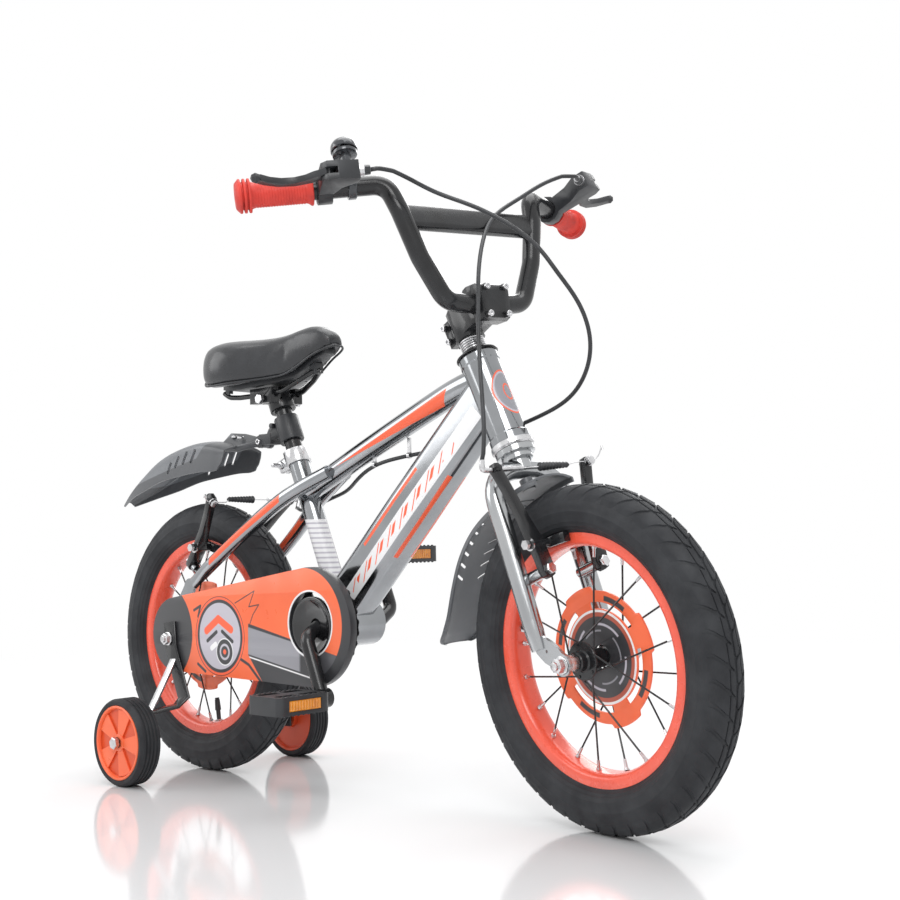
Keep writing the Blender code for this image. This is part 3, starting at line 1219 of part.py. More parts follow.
window = ring_points((BRACKET.x, BRACKET.z + 0.0027), GUARD_WINDOW_RADIUS, 16)
axle_hole = ring_points((0.0, WHEEL_RADIUS), AXLE_BORE, 8)
guard = plate(guard_outline(), -GUARD_FACE, -GUARD_BACK, [window, axle_hole])
pocket_holes = [ring_points((BRACKET.x, BRACKET.z + 0.0027), GUARD_WINDOW_RADIUS + GUARD_WALL, 16)]
pocket = plate(guard_outline(GUARD_WALL), -GUARD_FACE + GUARD_WALL, -GUARD_BACK + 0.01, pocket_holes)
finish("chain_guard", cut(guard, pocket), root, "orange_plastic")


# training wheels
def make_stab_bracket():
    """Left bracket: slotted bar from the axle, bent outward, down to the wheel bolt, with a brace."""
    middle = STAB_PLATE + STAB_PLATE_THICK / 2.0
    path = [(0.0, middle, 0.2050), (0.0040, middle, 0.1700), (0.0320, middle, 0.1060),
            (0.0300, middle + 0.0110, 0.0960), (0.0140, 0.1060, 0.0900), (0.0110, 0.1175, 0.0820),
            (STAB_CENTRE[0], 0.1205, 0.0660), (STAB_CENTRE[0], 0.1205, 0.0450)]
    bar = sweep(path, rounded_box(0.0240, STAB_PLATE_THICK, 0.0015, 1), None, (1.0, 0.0, 0.0))
    brace = sweep([(0.0100, middle + 0.0010, 0.1560), (0.0110, middle + 0.0100, 0.1400),
                   (0.0120, 0.1110, 0.0870)],
                  rounded_box(0.0110, 0.0030, 0.0010, 1), None, (1.0, 0.0, 0.0))
    bolt_end = STAB_CENTRE[1] + STAB_HALF_WIDTH + 0.0012
    bolt = rod((STAB_CENTRE[0], 0.1150, STAB_CENTRE[2]), (STAB_CENTRE[0], bolt_end, STAB_CENTRE[2]),
               AXLE_RADIUS, 8)
    inner_nut = rod((STAB_CENTRE[0], 0.1140, STAB_CENTRE[2]), (STAB_CENTRE[0], 0.1190, STAB_CENTRE[2]),
                    0.0080, 6)
    stop = rod((STAB_CENTRE[0], 0.1210, STAB_CENTRE[2]),
               (STAB_CENTRE[0], STAB_CENTRE[1] - STAB_HALF_WIDTH - GAP, STAB_CENTRE[2]), 0.0075, 8)
    outer_nut = rod((STAB_CENTRE[0], STAB_CENTRE[1] + STAB_HALF_WIDTH - 0.0040 + GAP, STAB_CENTRE[2]),
                    (STAB_CENTRE[0], STAB_CENTRE[1] + STAB_HALF_WIDTH + 0.0010, STAB_CENTRE[2]), 0.0072, 6)
    hole = rod((0.0, 0.05, WHEEL_RADIUS), (0.0, 0.09, WHEEL_RADIUS), AXLE_BORE, 8)
    return cut(fuse(bar, brace, bolt, inner_nut, stop, outer_nut), hole)


stab_bracket = make_stab_bracket()
finish("right_stabiliser_bracket", mirrored(stab_bracket), root, "black_metal")
finish("left_stabiliser_bracket", stab_bracket, root, "black_metal")


def make_stab_wheel():
    """Moulded wheel with a dished outer face and a ribbed tyre band; outer face toward +Y."""
    half = STAB_HALF_WIDTH
    profile = [(AXLE_BORE, -half), (0.0140, -half), (0.0150, -half + 0.0050), (0.0430, -half + 0.0050),
               (0.0450, -half), (0.0530, -half), (STAB_RADIUS, -half + 0.0050), (STAB_RADIUS, half - 0.0040),
               (0.0530, half), (0.0450, half), (0.0430, half - 0.0045), (0.0100, half - 0.0040),
               (AXLE_BORE, half - 0.0040)]
    return revolve(profile, 20, closed=True)


for side, sign in (("right", -1.0), ("left", 1.0)):
    centre = (STAB_CENTRE[0], sign * STAB_CENTRE[1], STAB_CENTRE[2])
    stab_body = body(side + "_stabiliser_body", root, translate(centre))
    piece = make_stab_wheel()
    if sign < 0.0:
        piece = moved(piece, MIRROR)
    finish(side + "_stabiliser_wheel", piece, stab_body, "orange_plastic")


# front mudguard
def arch_ring(centre, out, width, rise, drop, thickness):
    """Ring across a mudguard: an arch over the tyre with turned down edges."""
    out = Vector(out).normalized()
    half = width / 2.0
    top = [(-1.0, -drop), (-0.96, 0.0), (-0.5, rise * 0.8), (0.5, rise * 0.8), (0.96, 0.0), (1.0, -drop)]
    upper = [Vector(centre) + Vector((0.0, y * half, 0.0)) + out * z for y, z in top]
    shrink = (half - thickness) / half
    lower = []
    for y, z in reversed(top):
        wall = thickness if abs(y) < 0.9 else 0.0006
        lower.append(Vector(centre) + Vector((0.0, y * half * shrink, 0.0)) + out * (z - wall))
    lower[0] = Vector(centre) + Vector((0.0, half * shrink, 0.0)) - out * drop
    lower[-1] = Vector(centre) + Vector((0.0, -half * shrink, 0.0)) - out * drop
    return upper + lower


def make_front_mudguard():
    stations = [(79.0, 0.0135, 0.058), (88.0, 0.0145, 0.060), (97.0, 0.0160, 0.061),
                (106.0, 0.0210, 0.062), (115.0, 0.0260, 0.062), (125.0, 0.0290, 0.062),
                (135.0, 0.0300, 0.062), (144.0, 0.0320, 0.064), (150.0, 0.0410, 0.062),
                (154.5, 0.0540, 0.056)]
    rings = []
    for angle, over, width in stations:
        radius = WHEEL_RADIUS + over
        a = math.radians(angle)
        out = (math.cos(a), 0.0, math.sin(a))
        centre = (FORK_OFFSET + radius * out[0], 0.0, radius * out[2])
        rings.append(arch_ring(centre, out, width, 0.0050, 0.0060, SHEET))
    sheet = loft(rings)
    lug = rod((0.0, 0.0, 0.2000), (0.0, 0.0, 0.2235 - LEG_RADIUS - 2.0 * GAP), 0.0075, 8)
    return fuse(sheet, lug)


finish("front_mudguard", make_front_mudguard(), steering, "black_plastic")


# seat
def seat_local(piece):
    return moved(piece, translate(-on_seat_tube(SEAT_TUBE_TOP)))


post_top = on_seat_tube(POST_TOP)
finish("seatpost", seat_local(rod(on_seat_tube(POST_INSERT), post_top, POST_RADIUS, 16)), seat_body,
       "black_metal")


def make_mudguard_clamp():
    middle = on_seat_tube(0.4570)
    low = middle - post_direction * 0.0170
    high = middle + post_direction * 0.0170
    band = rod(low, high, POST_RADIUS + 0.0050, 12)
    mid = middle + Vector((-0.0180, 0.0, 0.0))
    neck = sweep([mid + Vector((0.008, 0.0, 0.0)), mid + Vector((-0.0100, 0.0, -0.0040)),
                  (0.1400, 0.0, 0.4480)],
                 rounded_box(0.0200, 0.0180, 0.004, 1))
    ear = rod((HINGE.x, -0.0105, HINGE.z), (HINGE.x, 0.0105, HINGE.z), 0.0085, 10)
    bridge = box((0.0240, 0.0210, 0.0140), (0.1330, 0.0, 0.4465))
    slot = box((0.0300, 0.0086, 0.0300), (HINGE.x, 0.0, HINGE.z))
    hole = rod(low - post_direction * 0.01, high + post_direction * 0.01, bore(POST_RADIUS, 12), 12)
    piece = cut(fuse(band, neck, ear, bridge), slot, hole)
    pin = rod((HINGE.x, -0.0130, HINGE.z), (HINGE.x, 0.0130, HINGE.z), 0.0030, 8)
    bolt = rod((middle.x - 0.0210, -0.0140, middle.z + 0.006),
               (middle.x - 0.0210, 0.0140, middle.z + 0.006), 0.0036, 8)
    return fuse(piece, pin, bolt)


finish("mudguard_clamp", seat_local(make_mudguard_clamp()), seat_body, "black_plastic")


def make_rear_mudguard():
    """Deep sheet rising from the hinge arm and narrowing to a point behind the wheel."""
    stations = [(0.0740, 0.4395, 0.066, 0.030), (0.0480, 0.4455, 0.071, 0.035),
                (0.0150, 0.4490, 0.074, 0.038), (-0.0300, 0.4430, 0.074, 0.036),
                (-0.0750, 0.4310, 0.070, 0.030), (-0.1200, 0.4100, 0.062, 0.020),
                (-0.1600, 0.3910, 0.046, 0.010), (-0.1980, 0.3735, 0.020, 0.003)]
    rings = []
    for i, (x, z, width, drop) in enumerate(stations):
        before = stations[max(i - 1, 0)]
        after = stations[min(i + 1, len(stations) - 1)]
        run = Vector((before[0] - after[0], 0.0, before[1] - after[1])).normalized()
        out = (-run.z, 0.0, run.x)
        rings.append(arch_ring((x, 0.0, z - 0.004), out, width, 0.0060, drop, SHEET))
    sheet = loft(rings)
    arm_path = [(HINGE.x - 0.002, 0.0, HINGE.z), (0.1085, 0.0, 0.4445), (0.0970, 0.0, 0.4455),
                (0.0700, 0.0, 0.4460), (0.0400, 0.0, 0.4490)]
    arm_scales = [(0.26, 0.9), (0.26, 0.9), (0.8, 0.9), (1.0, 1.0), (1.0, 0.9)]
    arm = sweep(arm_path, rounded_box(0.0300, 0.0110, 0.003, 1), arm_scales)
    eye = rod((HINGE.x, -0.0039, HINGE.z), (HINGE.x, 0.0039, HINGE.z), 0.0080, 10)
    hole = rod((HINGE.x, -0.02, HINGE.z), (HINGE.x, 0.02, HINGE.z), bore(0.0030, 8), 8)
    return cut(fuse(sheet, arm, eye), hole)


finish("rear_mudguard", moved(make_rear_mudguard(), translate(-HINGE)), mudguard_body, "black_plastic")


def saddle_ring(x, half, top, bottom, crown, tuck):
    """One cross section of the saddle, closed, from the right skirt over the top to the left skirt."""
    profile = [(-0.72, 0.0), (-0.94, 0.10), (-1.0, 0.38), (-0.97, 0.62), (-0.84, 0.84), (-0.60, 0.96),
               (-0.30, 1.0)]
    ring = []
    height = top - bottom
    for y, z in profile:
        ring.append((x, y * half, bottom + z * height))
    ring.append((x, 0.0, top - crown))
    for y, z in reversed(profile):
        ring.append((x, -y * half, bottom + z * height))
    ring.append((x, 0.50 * half, bottom + tuck))
    ring.append((x, 0.0, bottom + tuck))
    ring.append((x, -0.50 * half, bottom + tuck))
    return ring


# saddle stations from back to nose: place, half width, height of the top, height of the skirt
SADDLE = [(0.0520, 0.0280, 0.5690, 0.5400), (0.0577, 0.0510, 0.5760, 0.5260),
          (0.0709, 0.0650, 0.5795, 0.5170), (0.0907, 0.0712, 0.5810, 0.5145),
          (0.1124, 0.0707, 0.5800, 0.5150), (0.1332, 0.0633, 0.5785, 0.5165),
          (0.1520, 0.0520, 0.5780, 0.5180), (0.1727, 0.0400, 0.5790, 0.5200),
          (0.1944, 0.0310, 0.5825, 0.5230), (0.2160, 0.0255, 0.5865, 0.5330),
          (0.2348, 0.0222, 0.5870, 0.5430), (0.2518, 0.0190, 0.5820, 0.5500),
          (0.2631, 0.0130, 0.5740, 0.5540), (0.2678, 0.0060, 0.5660, 0.5570)]


def make_saddle():
    rings = []
    last = len(SADDLE) - 1
    for i, (x, half, top, bottom) in enumerate(SADDLE):
        inside = 1.0 if 0 < i < last else 0.0
        rings.append(saddle_ring(x, half, top, bottom, 0.0020 * inside,
                                 0.0090 * inside * min(1.0, half / 0.03)))
    return loft(rings)


finish("saddle", seat_local(make_saddle()), seat_body, "vinyl", 60.0)


def rail_sweep(radius):
    """Two rails bent from one rod, joined by a loop under the nose."""
    half = [(0.0690, 0.0262, 0.5120), (0.0790, 0.0255, 0.5055), (0.0980, 0.0225, 0.5040),
            (0.1500, 0.0205, 0.5040), (0.1800, 0.0165, 0.5070), (0.2080, 0.0110, 0.5190),
            (0.2240, 0.0060, 0.5270)]
    left = smooth_path(half, 0.020)
    path = left + [Vector((0.2290, 0.0, 0.5292))] + [Vector((p.x, -p.y, p.z)) for p in reversed(left)]
    return sweep(path, circle(radius, 6), None, (0.0, 0.0, 1.0))


def make_saddle_base():
    """Hard pan under the cushion, set inside its skirt, with sockets for the rails."""
    rings = []
    for x, half, top, bottom in SADDLE[2:-2]:
        low = bottom - 0.0010
        high = bottom + 0.0090 * min(1.0, half / 0.03) - 0.0004
        side = 0.46 * half
        rings.append([(x, -side, high), (x, side, high), (x, side, low), (x, -side, low)])
    pan = loft(rings)
    for side in (-1.0, 1.0):
        pan = fuse(pan, box((0.0085, 0.0062, 0.0100), (0.0780, side * 0.0257, 0.5140)))
    nose = box((0.0100, 0.0140, 0.0130), (0.2262, 0.0, 0.5325))
    return cut(fuse(pan, nose), rail_sweep(bore(RAIL_RADIUS, 6)))


finish("saddle_base", seat_local(make_saddle_base()), seat_body, "black_plastic")
finish("saddle_rails", seat_local(rail_sweep(RAIL_RADIUS)), seat_body, "steel")


def make_saddle_clamp():
    top = on_seat_tube(0.4975)
    body_piece = rod(on_seat_tube(0.4830), on_seat_tube(0.5085), POST_RADIUS + 0.0060, 14)
    cheek_left = box((0.0440, 0.0120, 0.0200), (0.1450, 0.0205, 0.5025))
    cheek_right = box((0.0440, 0.0120, 0.0200), (0.1450, -0.0205, 0.5025))
    through = rod((0.1500, -0.0310, 0.4975), (0.1500, 0.0310, 0.4975), 0.0040, 8)
    joined = fuse(body_piece, box((0.0300, 0.0340, 0.0140), (top.x - 0.002, 0.0, 0.4990)), cheek_left,
                  cheek_right, through)
    hole = rod(on_seat_tube(0.47), on_seat_tube(POST_TOP + 0.0006), bore(POST_RADIUS, 12), 12)
    return cut(joined, hole, rail_sweep(bore(RAIL_RADIUS, 6)))


finish("saddle_clamp", seat_local(make_saddle_clamp()), seat_body, "black_metal")


# brake cables
def cord(name, points, radius, spacing, parent, slot):
    """Smooth tube through route points, as a bevelled poly curve."""
    path = smooth_path(points, spacing)
    curve = bpy.data.curves.new(name, "CURVE")
    curve.dimensions = "3D"
    curve.bevel_depth = radius
    curve.bevel_resolution = 2
    curve.use_fill_caps = True
    line = curve.splines.new("POLY")
    line.points.add(len(path) - 1)
    for point, place in zip(line.points, path):
        point.co = (place.x, place.y, place.z, 1.0)
    made = bpy.data.objects.new(name, curve)
    SCENE.objects.link(made)
    made.parent = parent
    curve.materials.append(material(slot))
    return made


CABLE_STEP = 0.0135
right_exit = right_hand.point(BRACKET_PLACE, LEVER_TILT_RIGHT, ADJUSTER_REACH, -ADJUSTER_END - GAP, 0.0)
left_exit = left_hand.point(BRACKET_PLACE, LEVER_TILT_LEFT, ADJUSTER_REACH, -ADJUSTER_END - GAP, 0.0)
right_run = -right_hand.along
left_run = -left_hand.along

CABLE_BREAK = Vector((0.1520, 0.0040, 0.3960))
BREAK_GAP = 0.0008
bar_loop = [right_exit, right_exit + right_run * 0.012, (0.1130, -0.112, 0.5290),
            (0.1080, -0.080, 0.5130), (0.1239, -0.060, 0.4924), (0.1419, -0.035, 0.4601),
            (0.1505, -0.004, 0.4230), (0.1520, 0.004, 0.4080), CABLE_BREAK]
cord("rear_brake_cable_front", bar_loop, CABLE_RADIUS, CABLE_STEP, steering, "black_plastic")

# the run below the steering break is laid beside the steering axis, then along the frame
below_break = [CABLE_BREAK - Vector((0.0, 0.0, BREAK_GAP)), CABLE_BREAK - Vector((0.0, 0.0, 0.0120)),
               (0.1500, 0.0190, 0.3690), (0.1400, 0.038, 0.3460), (0.1250, 0.052, 0.3240),
               (0.1060, 0.060, 0.3060), (0.0840, 0.062, 0.2925)]
frame_run = [steering.matrix_local @ Vector(p) for p in below_break]
frame_run = frame_run + [
    (0.5980, 0.0480, 0.4620), (0.5700, 0.0380, 0.4490), (0.5300, 0.0320, 0.4360),
    (0.4800, 0.0300, 0.4250), (0.4350, 0.0270, 0.4180), (0.4050, 0.0140, 0.4140),
    (0.3700, 0.0030, 0.4090), (0.3310, 0.0000, 0.4030), (0.3020, 0.0040, 0.3910),
    (0.2660, 0.0230, 0.3800), (0.2400, 0.0360, 0.3720), (0.2050, 0.0440, 0.3670),
    (0.1700, 0.0490, 0.3580), (0.1400, 0.0540, 0.3520), (0.1150, 0.0640, 0.3510)]


def noodle(arm_pivot, boss_axis, arm_axis, side):
    """Bent pipe that drops past the arm and turns inward to its top."""
    top = arm_pivot + arm_axis * (BRAKE_ARM_LENGTH - 0.001)
    edge = side * (0.0270 + 0.0058 + GAP)
    return [top + boss_axis * 0.0030 + arm_axis * 0.0110 + Vector((0.0, edge + side * 0.0105, 0.0)),
            top + arm_axis * 0.0020 + Vector((0.0, edge + side * 0.0110, 0.0)),
            top + Vector((0.0, edge + side * 0.0050, 0.0)), top + Vector((0.0, edge, 0.0))]


rear_bend = noodle(rear_pivot, rear_boss_axis, rear_arm_axis, 1.0)
rear_run = frame_run + [Vector((0.0985, 0.0745, 0.3560))] + rear_bend[1:]
cord("rear_brake_cable_rear", rear_run, CABLE_RADIUS, CABLE_STEP, root, "black_plastic")

front_arm_pivot = Vector((front_pivot.x, -front_pivot.y, front_pivot.z))
front_bend = noodle(front_arm_pivot, boss_forward, front_arm_axis, -1.0)
front_loop = [left_exit, left_exit + left_run * 0.012, (0.1060, 0.1150, 0.5530), (0.0880, 0.0720, 0.5330),
              (0.0780, 0.0250, 0.5100), (0.0790, -0.0190, 0.4500), (0.0780, -0.0370, 0.4110),
              (0.0740, -0.0500, 0.3760), (0.0660, -0.0640, 0.3250), (0.0540, -0.0740, 0.2720),
              (0.0460, -0.0790, 0.2400)]
cord("front_brake_cable", front_loop + front_bend, CABLE_RADIUS, CABLE_STEP, steering, "black_plastic")


# stand the bicycle on z = 0 with its origin under the middle of its box
bpy.context.view_layer.update()
low = Vector((1e9, 1e9, 1e9))
high = -low
for piece in bpy.data.objects:
    if piece.type in {"MESH", "CURVE"}:
        evaluated = piece.evaluated_get(bpy.context.evaluated_depsgraph_get())
        mesh = evaluated.to_mesh()
        for vertex in mesh.vertices:
            place = piece.matrix_world @ vertex.co
            low = Vector([min(a, b) for a, b in zip(low, place)])
            high = Vector([max(a, b) for a, b in zip(high, place)])
        evaluated.to_mesh_clear()
root.location = Vector((-(low.x + high.x) / 2.0, -(low.y + high.y) / 2.0, -low.z))
bpy.context.view_layer.update()
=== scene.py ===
import json
import math
import bpy
import bmesh
from mathutils import Matrix, Vector
from mathutils.geometry import tessellate_polygon


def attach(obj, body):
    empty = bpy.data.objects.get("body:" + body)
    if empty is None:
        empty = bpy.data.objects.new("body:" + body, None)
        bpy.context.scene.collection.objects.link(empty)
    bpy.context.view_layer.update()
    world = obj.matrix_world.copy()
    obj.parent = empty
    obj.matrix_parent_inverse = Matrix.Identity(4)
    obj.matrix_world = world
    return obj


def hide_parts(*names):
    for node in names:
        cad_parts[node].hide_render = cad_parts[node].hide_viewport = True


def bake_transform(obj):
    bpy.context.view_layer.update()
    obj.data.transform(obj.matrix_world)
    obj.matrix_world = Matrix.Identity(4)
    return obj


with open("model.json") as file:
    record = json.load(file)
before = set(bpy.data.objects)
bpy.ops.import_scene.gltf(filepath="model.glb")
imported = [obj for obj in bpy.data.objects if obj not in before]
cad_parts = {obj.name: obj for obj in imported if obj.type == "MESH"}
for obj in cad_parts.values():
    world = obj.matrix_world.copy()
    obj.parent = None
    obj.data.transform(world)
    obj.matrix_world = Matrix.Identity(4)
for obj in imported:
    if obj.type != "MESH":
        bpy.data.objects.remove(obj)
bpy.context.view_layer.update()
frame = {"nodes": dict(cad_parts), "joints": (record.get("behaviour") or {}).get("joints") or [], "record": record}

nodes = frame["nodes"]
joints = {joint["name"]: joint for joint in frame["joints"]}
print("frame loaded:", len(nodes), "nodes")


# where things are
def jointAt(name):
    return Vector(joints[name]["pos_m"])


def jointAxis(name):
    return Vector(joints[name]["axis"]).normalized()


def axesAt(origin, x, y, z):
    matrix = Matrix((x, y, z)).transposed().to_4x4()
    matrix.translation = origin
    return matrix


steerAxis = jointAxis("steering")
steerSide = jointAxis("front_wheel_spin")
steerPlace = axesAt(jointAt("steering"), steerSide.cross(steerAxis), steerSide, steerAxis)
rearAxle = jointAt("rear_wheel_spin")
bikePlace = Matrix.Translation((rearAxle.x, rearAxle.y, 0.0))  # origin on the floor under the rear axle
rearPlace = Matrix.Translation(rearAxle)
frontPlace = steerPlace.copy()
frontPlace.translation = jointAt("front_wheel_spin")
headPlace = steerPlace @ Matrix.Rotation(math.radians(9.9), 4, "Z")  # the head tube's own, unturned axes
toBike = bikePlace.inverted()
upright = Matrix.Rotation(math.radians(90), 4, "X")  # stands up a shape that was made along Y


# shapes
def sceneObject(name, mesh):
    made = bpy.data.objects.new(name, mesh)
    bpy.context.scene.collection.objects.link(made)
    return made


def meshOf(points, faces):
    bm = bmesh.new()
    corners = [bm.verts.new(p) for p in points]
    for face in faces:
        bm.faces.new([corners[i] for i in face])
    bmesh.ops.recalc_face_normals(bm, faces=bm.faces)
    if bm.calc_volume(signed=True) < 0.0:
        bmesh.ops.reverse_faces(bm, faces=bm.faces)
    mesh = bpy.data.meshes.new("shape")
    bm.to_mesh(mesh)
    bm.free()
    return mesh


def circle(radius, sides=24):
    angles = [2 * math.pi * i / sides for i in range(sides)]
    return [(radius * math.cos(angle), radius * math.sin(angle)) for angle in angles]


def roundedSection(width, height, corner, steps=5):
    points = []
    for k, (sx, sy) in enumerate(((1, 1), (-1, 1), (-1, -1), (1, -1))):
        for i in range(steps + 1):
            angle = math.radians(90 * k + 90 * i / steps)
            points.append((sx * (width / 2 - corner) + corner * math.cos(angle),
                           sy * (height / 2 - corner) + corner * math.sin(angle)))
    return points


def loft(rings, closedPath=False):
    sides = len(rings[0])
    points = [p for ring in rings for p in ring]
    faces = []
    count = len(rings)
    for i in range(count if closedPath else count - 1):
        a, b = i * sides, ((i + 1) % count) * sides
        for j in range(sides):
            k = (j + 1) % sides
            faces.append((a + j, a + k, b + k, b + j))
    if not closedPath:
        faces.append(tuple(range(sides)))
        faces.append(tuple(reversed(range((count - 1) * sides, count * sides))))
    return meshOf(points, faces)


def sweep(path, section, scales=None, across=None, closedPath=False):
    path = [Vector(p) for p in path]
    count = len(path)
    tangents = []
    for i in range(count):
        if closedPath:
            step = path[(i + 1) % count] - path[i - 1]
        else:
            step = path[min(i + 1, count - 1)] - path[max(i - 1, 0)]
        tangents.append(step.normalized())
    side = Vector(across) if across is not None else tangents[0].orthogonal()
    rings = []
    for i, (at, along) in enumerate(zip(path, tangents)):
        side = (side - along * side.dot(along)).normalized()
        up = along.cross(side)
        scale = scales[i] if scales else 1.0
        sx, sy = scale if isinstance(scale, tuple) else (scale, scale)
        rings.append([at + side * (x * sx) + up * (y * sy) for x, y in section])
    return loft(rings, closedPath)


def revolve(profile, steps):
    rings = []
    for i in range(steps):
        angle = 2 * math.pi * i / steps
        rings.append([(r * math.cos(angle), y, r * math.sin(angle)) for r, y in profile])
    return loft(rings, True)


def plate(outline, low, high, holes=()):
    loops = [list(outline)] + [list(h) for h in holes]
    flat = [p for loop in loops for p in loop]
    triangles = tessellate_polygon([[Vector((p[0], p[1], 0.0)) for p in loop] for loop in loops])
    total = len(flat)
    points = [(p[0], low, p[1]) for p in flat] + [(p[0], high, p[1]) for p in flat]
    faces = [tuple(t) for t in triangles] + [tuple(i + total for i in reversed(t)) for t in triangles]
    start = 0
    for loop in loops:
        for i in range(len(loop)):
            j = (i + 1) % len(loop)
            faces.append((start + i, start + j, start + j + total, start + i + total))
        start += len(loop)
    return meshOf(points, faces)


def arcPoints(centre, radius, start, end, steps):
    angles = [math.radians(start + (end - start) * i / steps) for i in range(steps + 1)]
    return [(centre[0] + radius * math.cos(a), centre[1] + radius * math.sin(a)) for a in angles]


def hole(centre, radius, sides=24):
    return arcPoints(centre, radius, 0, 360 - 360 / sides, sides - 1)


def sectorOutline(middle, outer, inner):
    # part of a ring: outer and inner each give a radius, half an angle and a number of steps
    (radius, half, steps), (inRadius, inHalf, inSteps) = outer, inner
    return (arcPoints((0, 0), radius, middle - half, middle + half, steps)
            + arcPoints((0, 0), inRadius, middle + inHalf, middle - inHalf, inSteps))


def rod(start, end, radius, sides=24, endRadius=None):
    start, end = Vector(start), Vector(end)
    return sweep([start, end], circle(radius, sides), [1.0, (endRadius or radius) / radius])


def block(size, centre):
    x, y, z = (s / 2 for s in size)
    corners = [Vector((sx * x, sy * y, sz * z)) for sx in (-1, 1) for sy in (-1, 1) for sz in (-1, 1)]
    return meshOf([corner + Vector(centre) for corner in corners],
                  [(0, 1, 3, 2), (4, 6, 7, 5), (0, 4, 5, 1), (2, 3, 7, 6), (0, 2, 6, 4), (1, 5, 7, 3)])


def throughPoints(points, spacing):
    fixed = [Vector(p) for p in points]
    fixed = [fixed[0] * 2 - fixed[1]] + fixed + [fixed[-1] * 2 - fixed[-2]]
    fine = []
    for i in range(1, len(fixed) - 2):
        a, b, c, d = fixed[i - 1:i + 3]
        for step in range(24):
            t = step / 24
            fine.append(0.5 * (2 * b + (c - a) * t + (2 * a - 5 * b + 4 * c - d) * t ** 2
                               + (3 * b - a - 3 * c + d) * t ** 3))
    fine.append(fixed[-2])
    lengths = [0.0]
    for a, b in zip(fine, fine[1:]):
        lengths.append(lengths[-1] + (b - a).length)
    count = max(2, round(lengths[-1] / spacing))
    even, k = [], 0
    for i in range(count + 1):
        want = lengths[-1] * i / count
        while k < len(fine) - 2 and lengths[k + 1] < want:
            k += 1
        span = max(lengths[k + 1] - lengths[k], 1e-9)
        even.append(fine[k].lerp(fine[k + 1], min(1.0, (want - lengths[k]) / span)))
    return even


def roundedPath(points, radius, steps=8):
    fixed = [Vector(p) for p in points]
    out = [fixed[0]]
    for before, corner, after in zip(fixed, fixed[1:], fixed[2:]):
        toBefore, toAfter = (before - corner).normalized(), (after - corner).normalized()
        reach = min(radius / math.tan(toBefore.angle(toAfter) / 2),
                    0.48 * min((before - corner).length, (after - corner).length))
        first, last = corner + toBefore * reach, corner + toAfter * reach
        for i in range(steps + 1):
            t = i / steps
            out.append(first.lerp(corner, t).lerp(corner.lerp(last, t), t))
    out.append(fixed[-1])
    return out


def joined(*meshes):
    bm = bmesh.new()
    for mesh in meshes:
        bm.from_mesh(mesh)
    made = bpy.data.meshes.new("joined")
    bm.to_mesh(made)
    bm.free()
    return made


def placed(mesh, matrix):
    made = mesh.copy()
    made.transform(matrix)
    if matrix.determinant() < 0:
        made.flip_normals()
    return made


def mirrored(mesh):
    return placed(mesh, Matrix.Scale(-1, 4, (0, 1, 0)))


def worked(mesh, *steps):
    # the mesh with modifiers worked in, each given as its kind and its settings
    holder = sceneObject("holder", mesh)
    for kind, settings in steps:
        step = holder.modifiers.new(kind.lower(), kind)
        for key, value in settings.items():
            setattr(step, key, value)
    return taken(holder)


def taken(holder):
    made = bpy.data.meshes.new_from_object(holder.evaluated_get(bpy.context.evaluated_depsgraph_get()))
    bpy.data.objects.remove(holder)
    return made


def piece(name, mesh, place, body, finish, standsFor=None, sharp=35, bevel=0.0):
    mesh = placed(mesh, place)
    if bevel > 0:
        ease = dict(width=bevel, segments=2, limit_method="ANGLE", angle_limit=math.radians(40))
        mesh = worked(mesh, ("BEVEL", ease))
    made = sceneObject(name, mesh)
    mesh.name = name
    mesh.shade_smooth()
    mesh.set_sharp_from_angle(angle=math.radians(sharp))
    mesh.materials.clear()
    mesh.materials.append(finishes[finish])
    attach(made, body)
    if standsFor:
        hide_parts(standsFor)
    return made


# geometry node trees
def addNode(tree, kind, values=None, **settings):
    made = tree.nodes.new(kind)
    for key, value in settings.items():
        setattr(made, key, value)
    for key, value in (values or {}).items():
        if isinstance(value, bpy.types.NodeSocket):
            tree.links.new(value, made.inputs[key])
        else:
            made.inputs[key].default_value = value
    return made


def newTree(name, inputs):
    tree = bpy.data.node_groups.new(name, "GeometryNodeTree")
    for label, kind in inputs:
        tree.interface.new_socket(label, in_out="INPUT", socket_type="NodeSocket" + kind)
    tree.interface.new_socket("Geometry", in_out="OUTPUT", socket_type="NodeSocketGeometry")
    return tree, tree.nodes.new("NodeGroupInput").outputs


def copyAt(tree, part, values):
    part = addNode(tree, "GeometryNodeObjectInfo", {"Object": part}).outputs["Geometry"]
    return addNode(tree, "GeometryNodeInstanceOnPoints", dict(values, Instance=part)).outputs[0]


def endTree(tree, parts, finish):
    real = addNode(tree, "GeometryNodeRealizeInstances", {0: parts})
    painted = addNode(tree, "GeometryNodeSetMaterial", {"Geometry": real.outputs[0], "Material": finish})
    addNode(tree, "NodeGroupOutput", {0: painted.outputs[0]})
    return tree


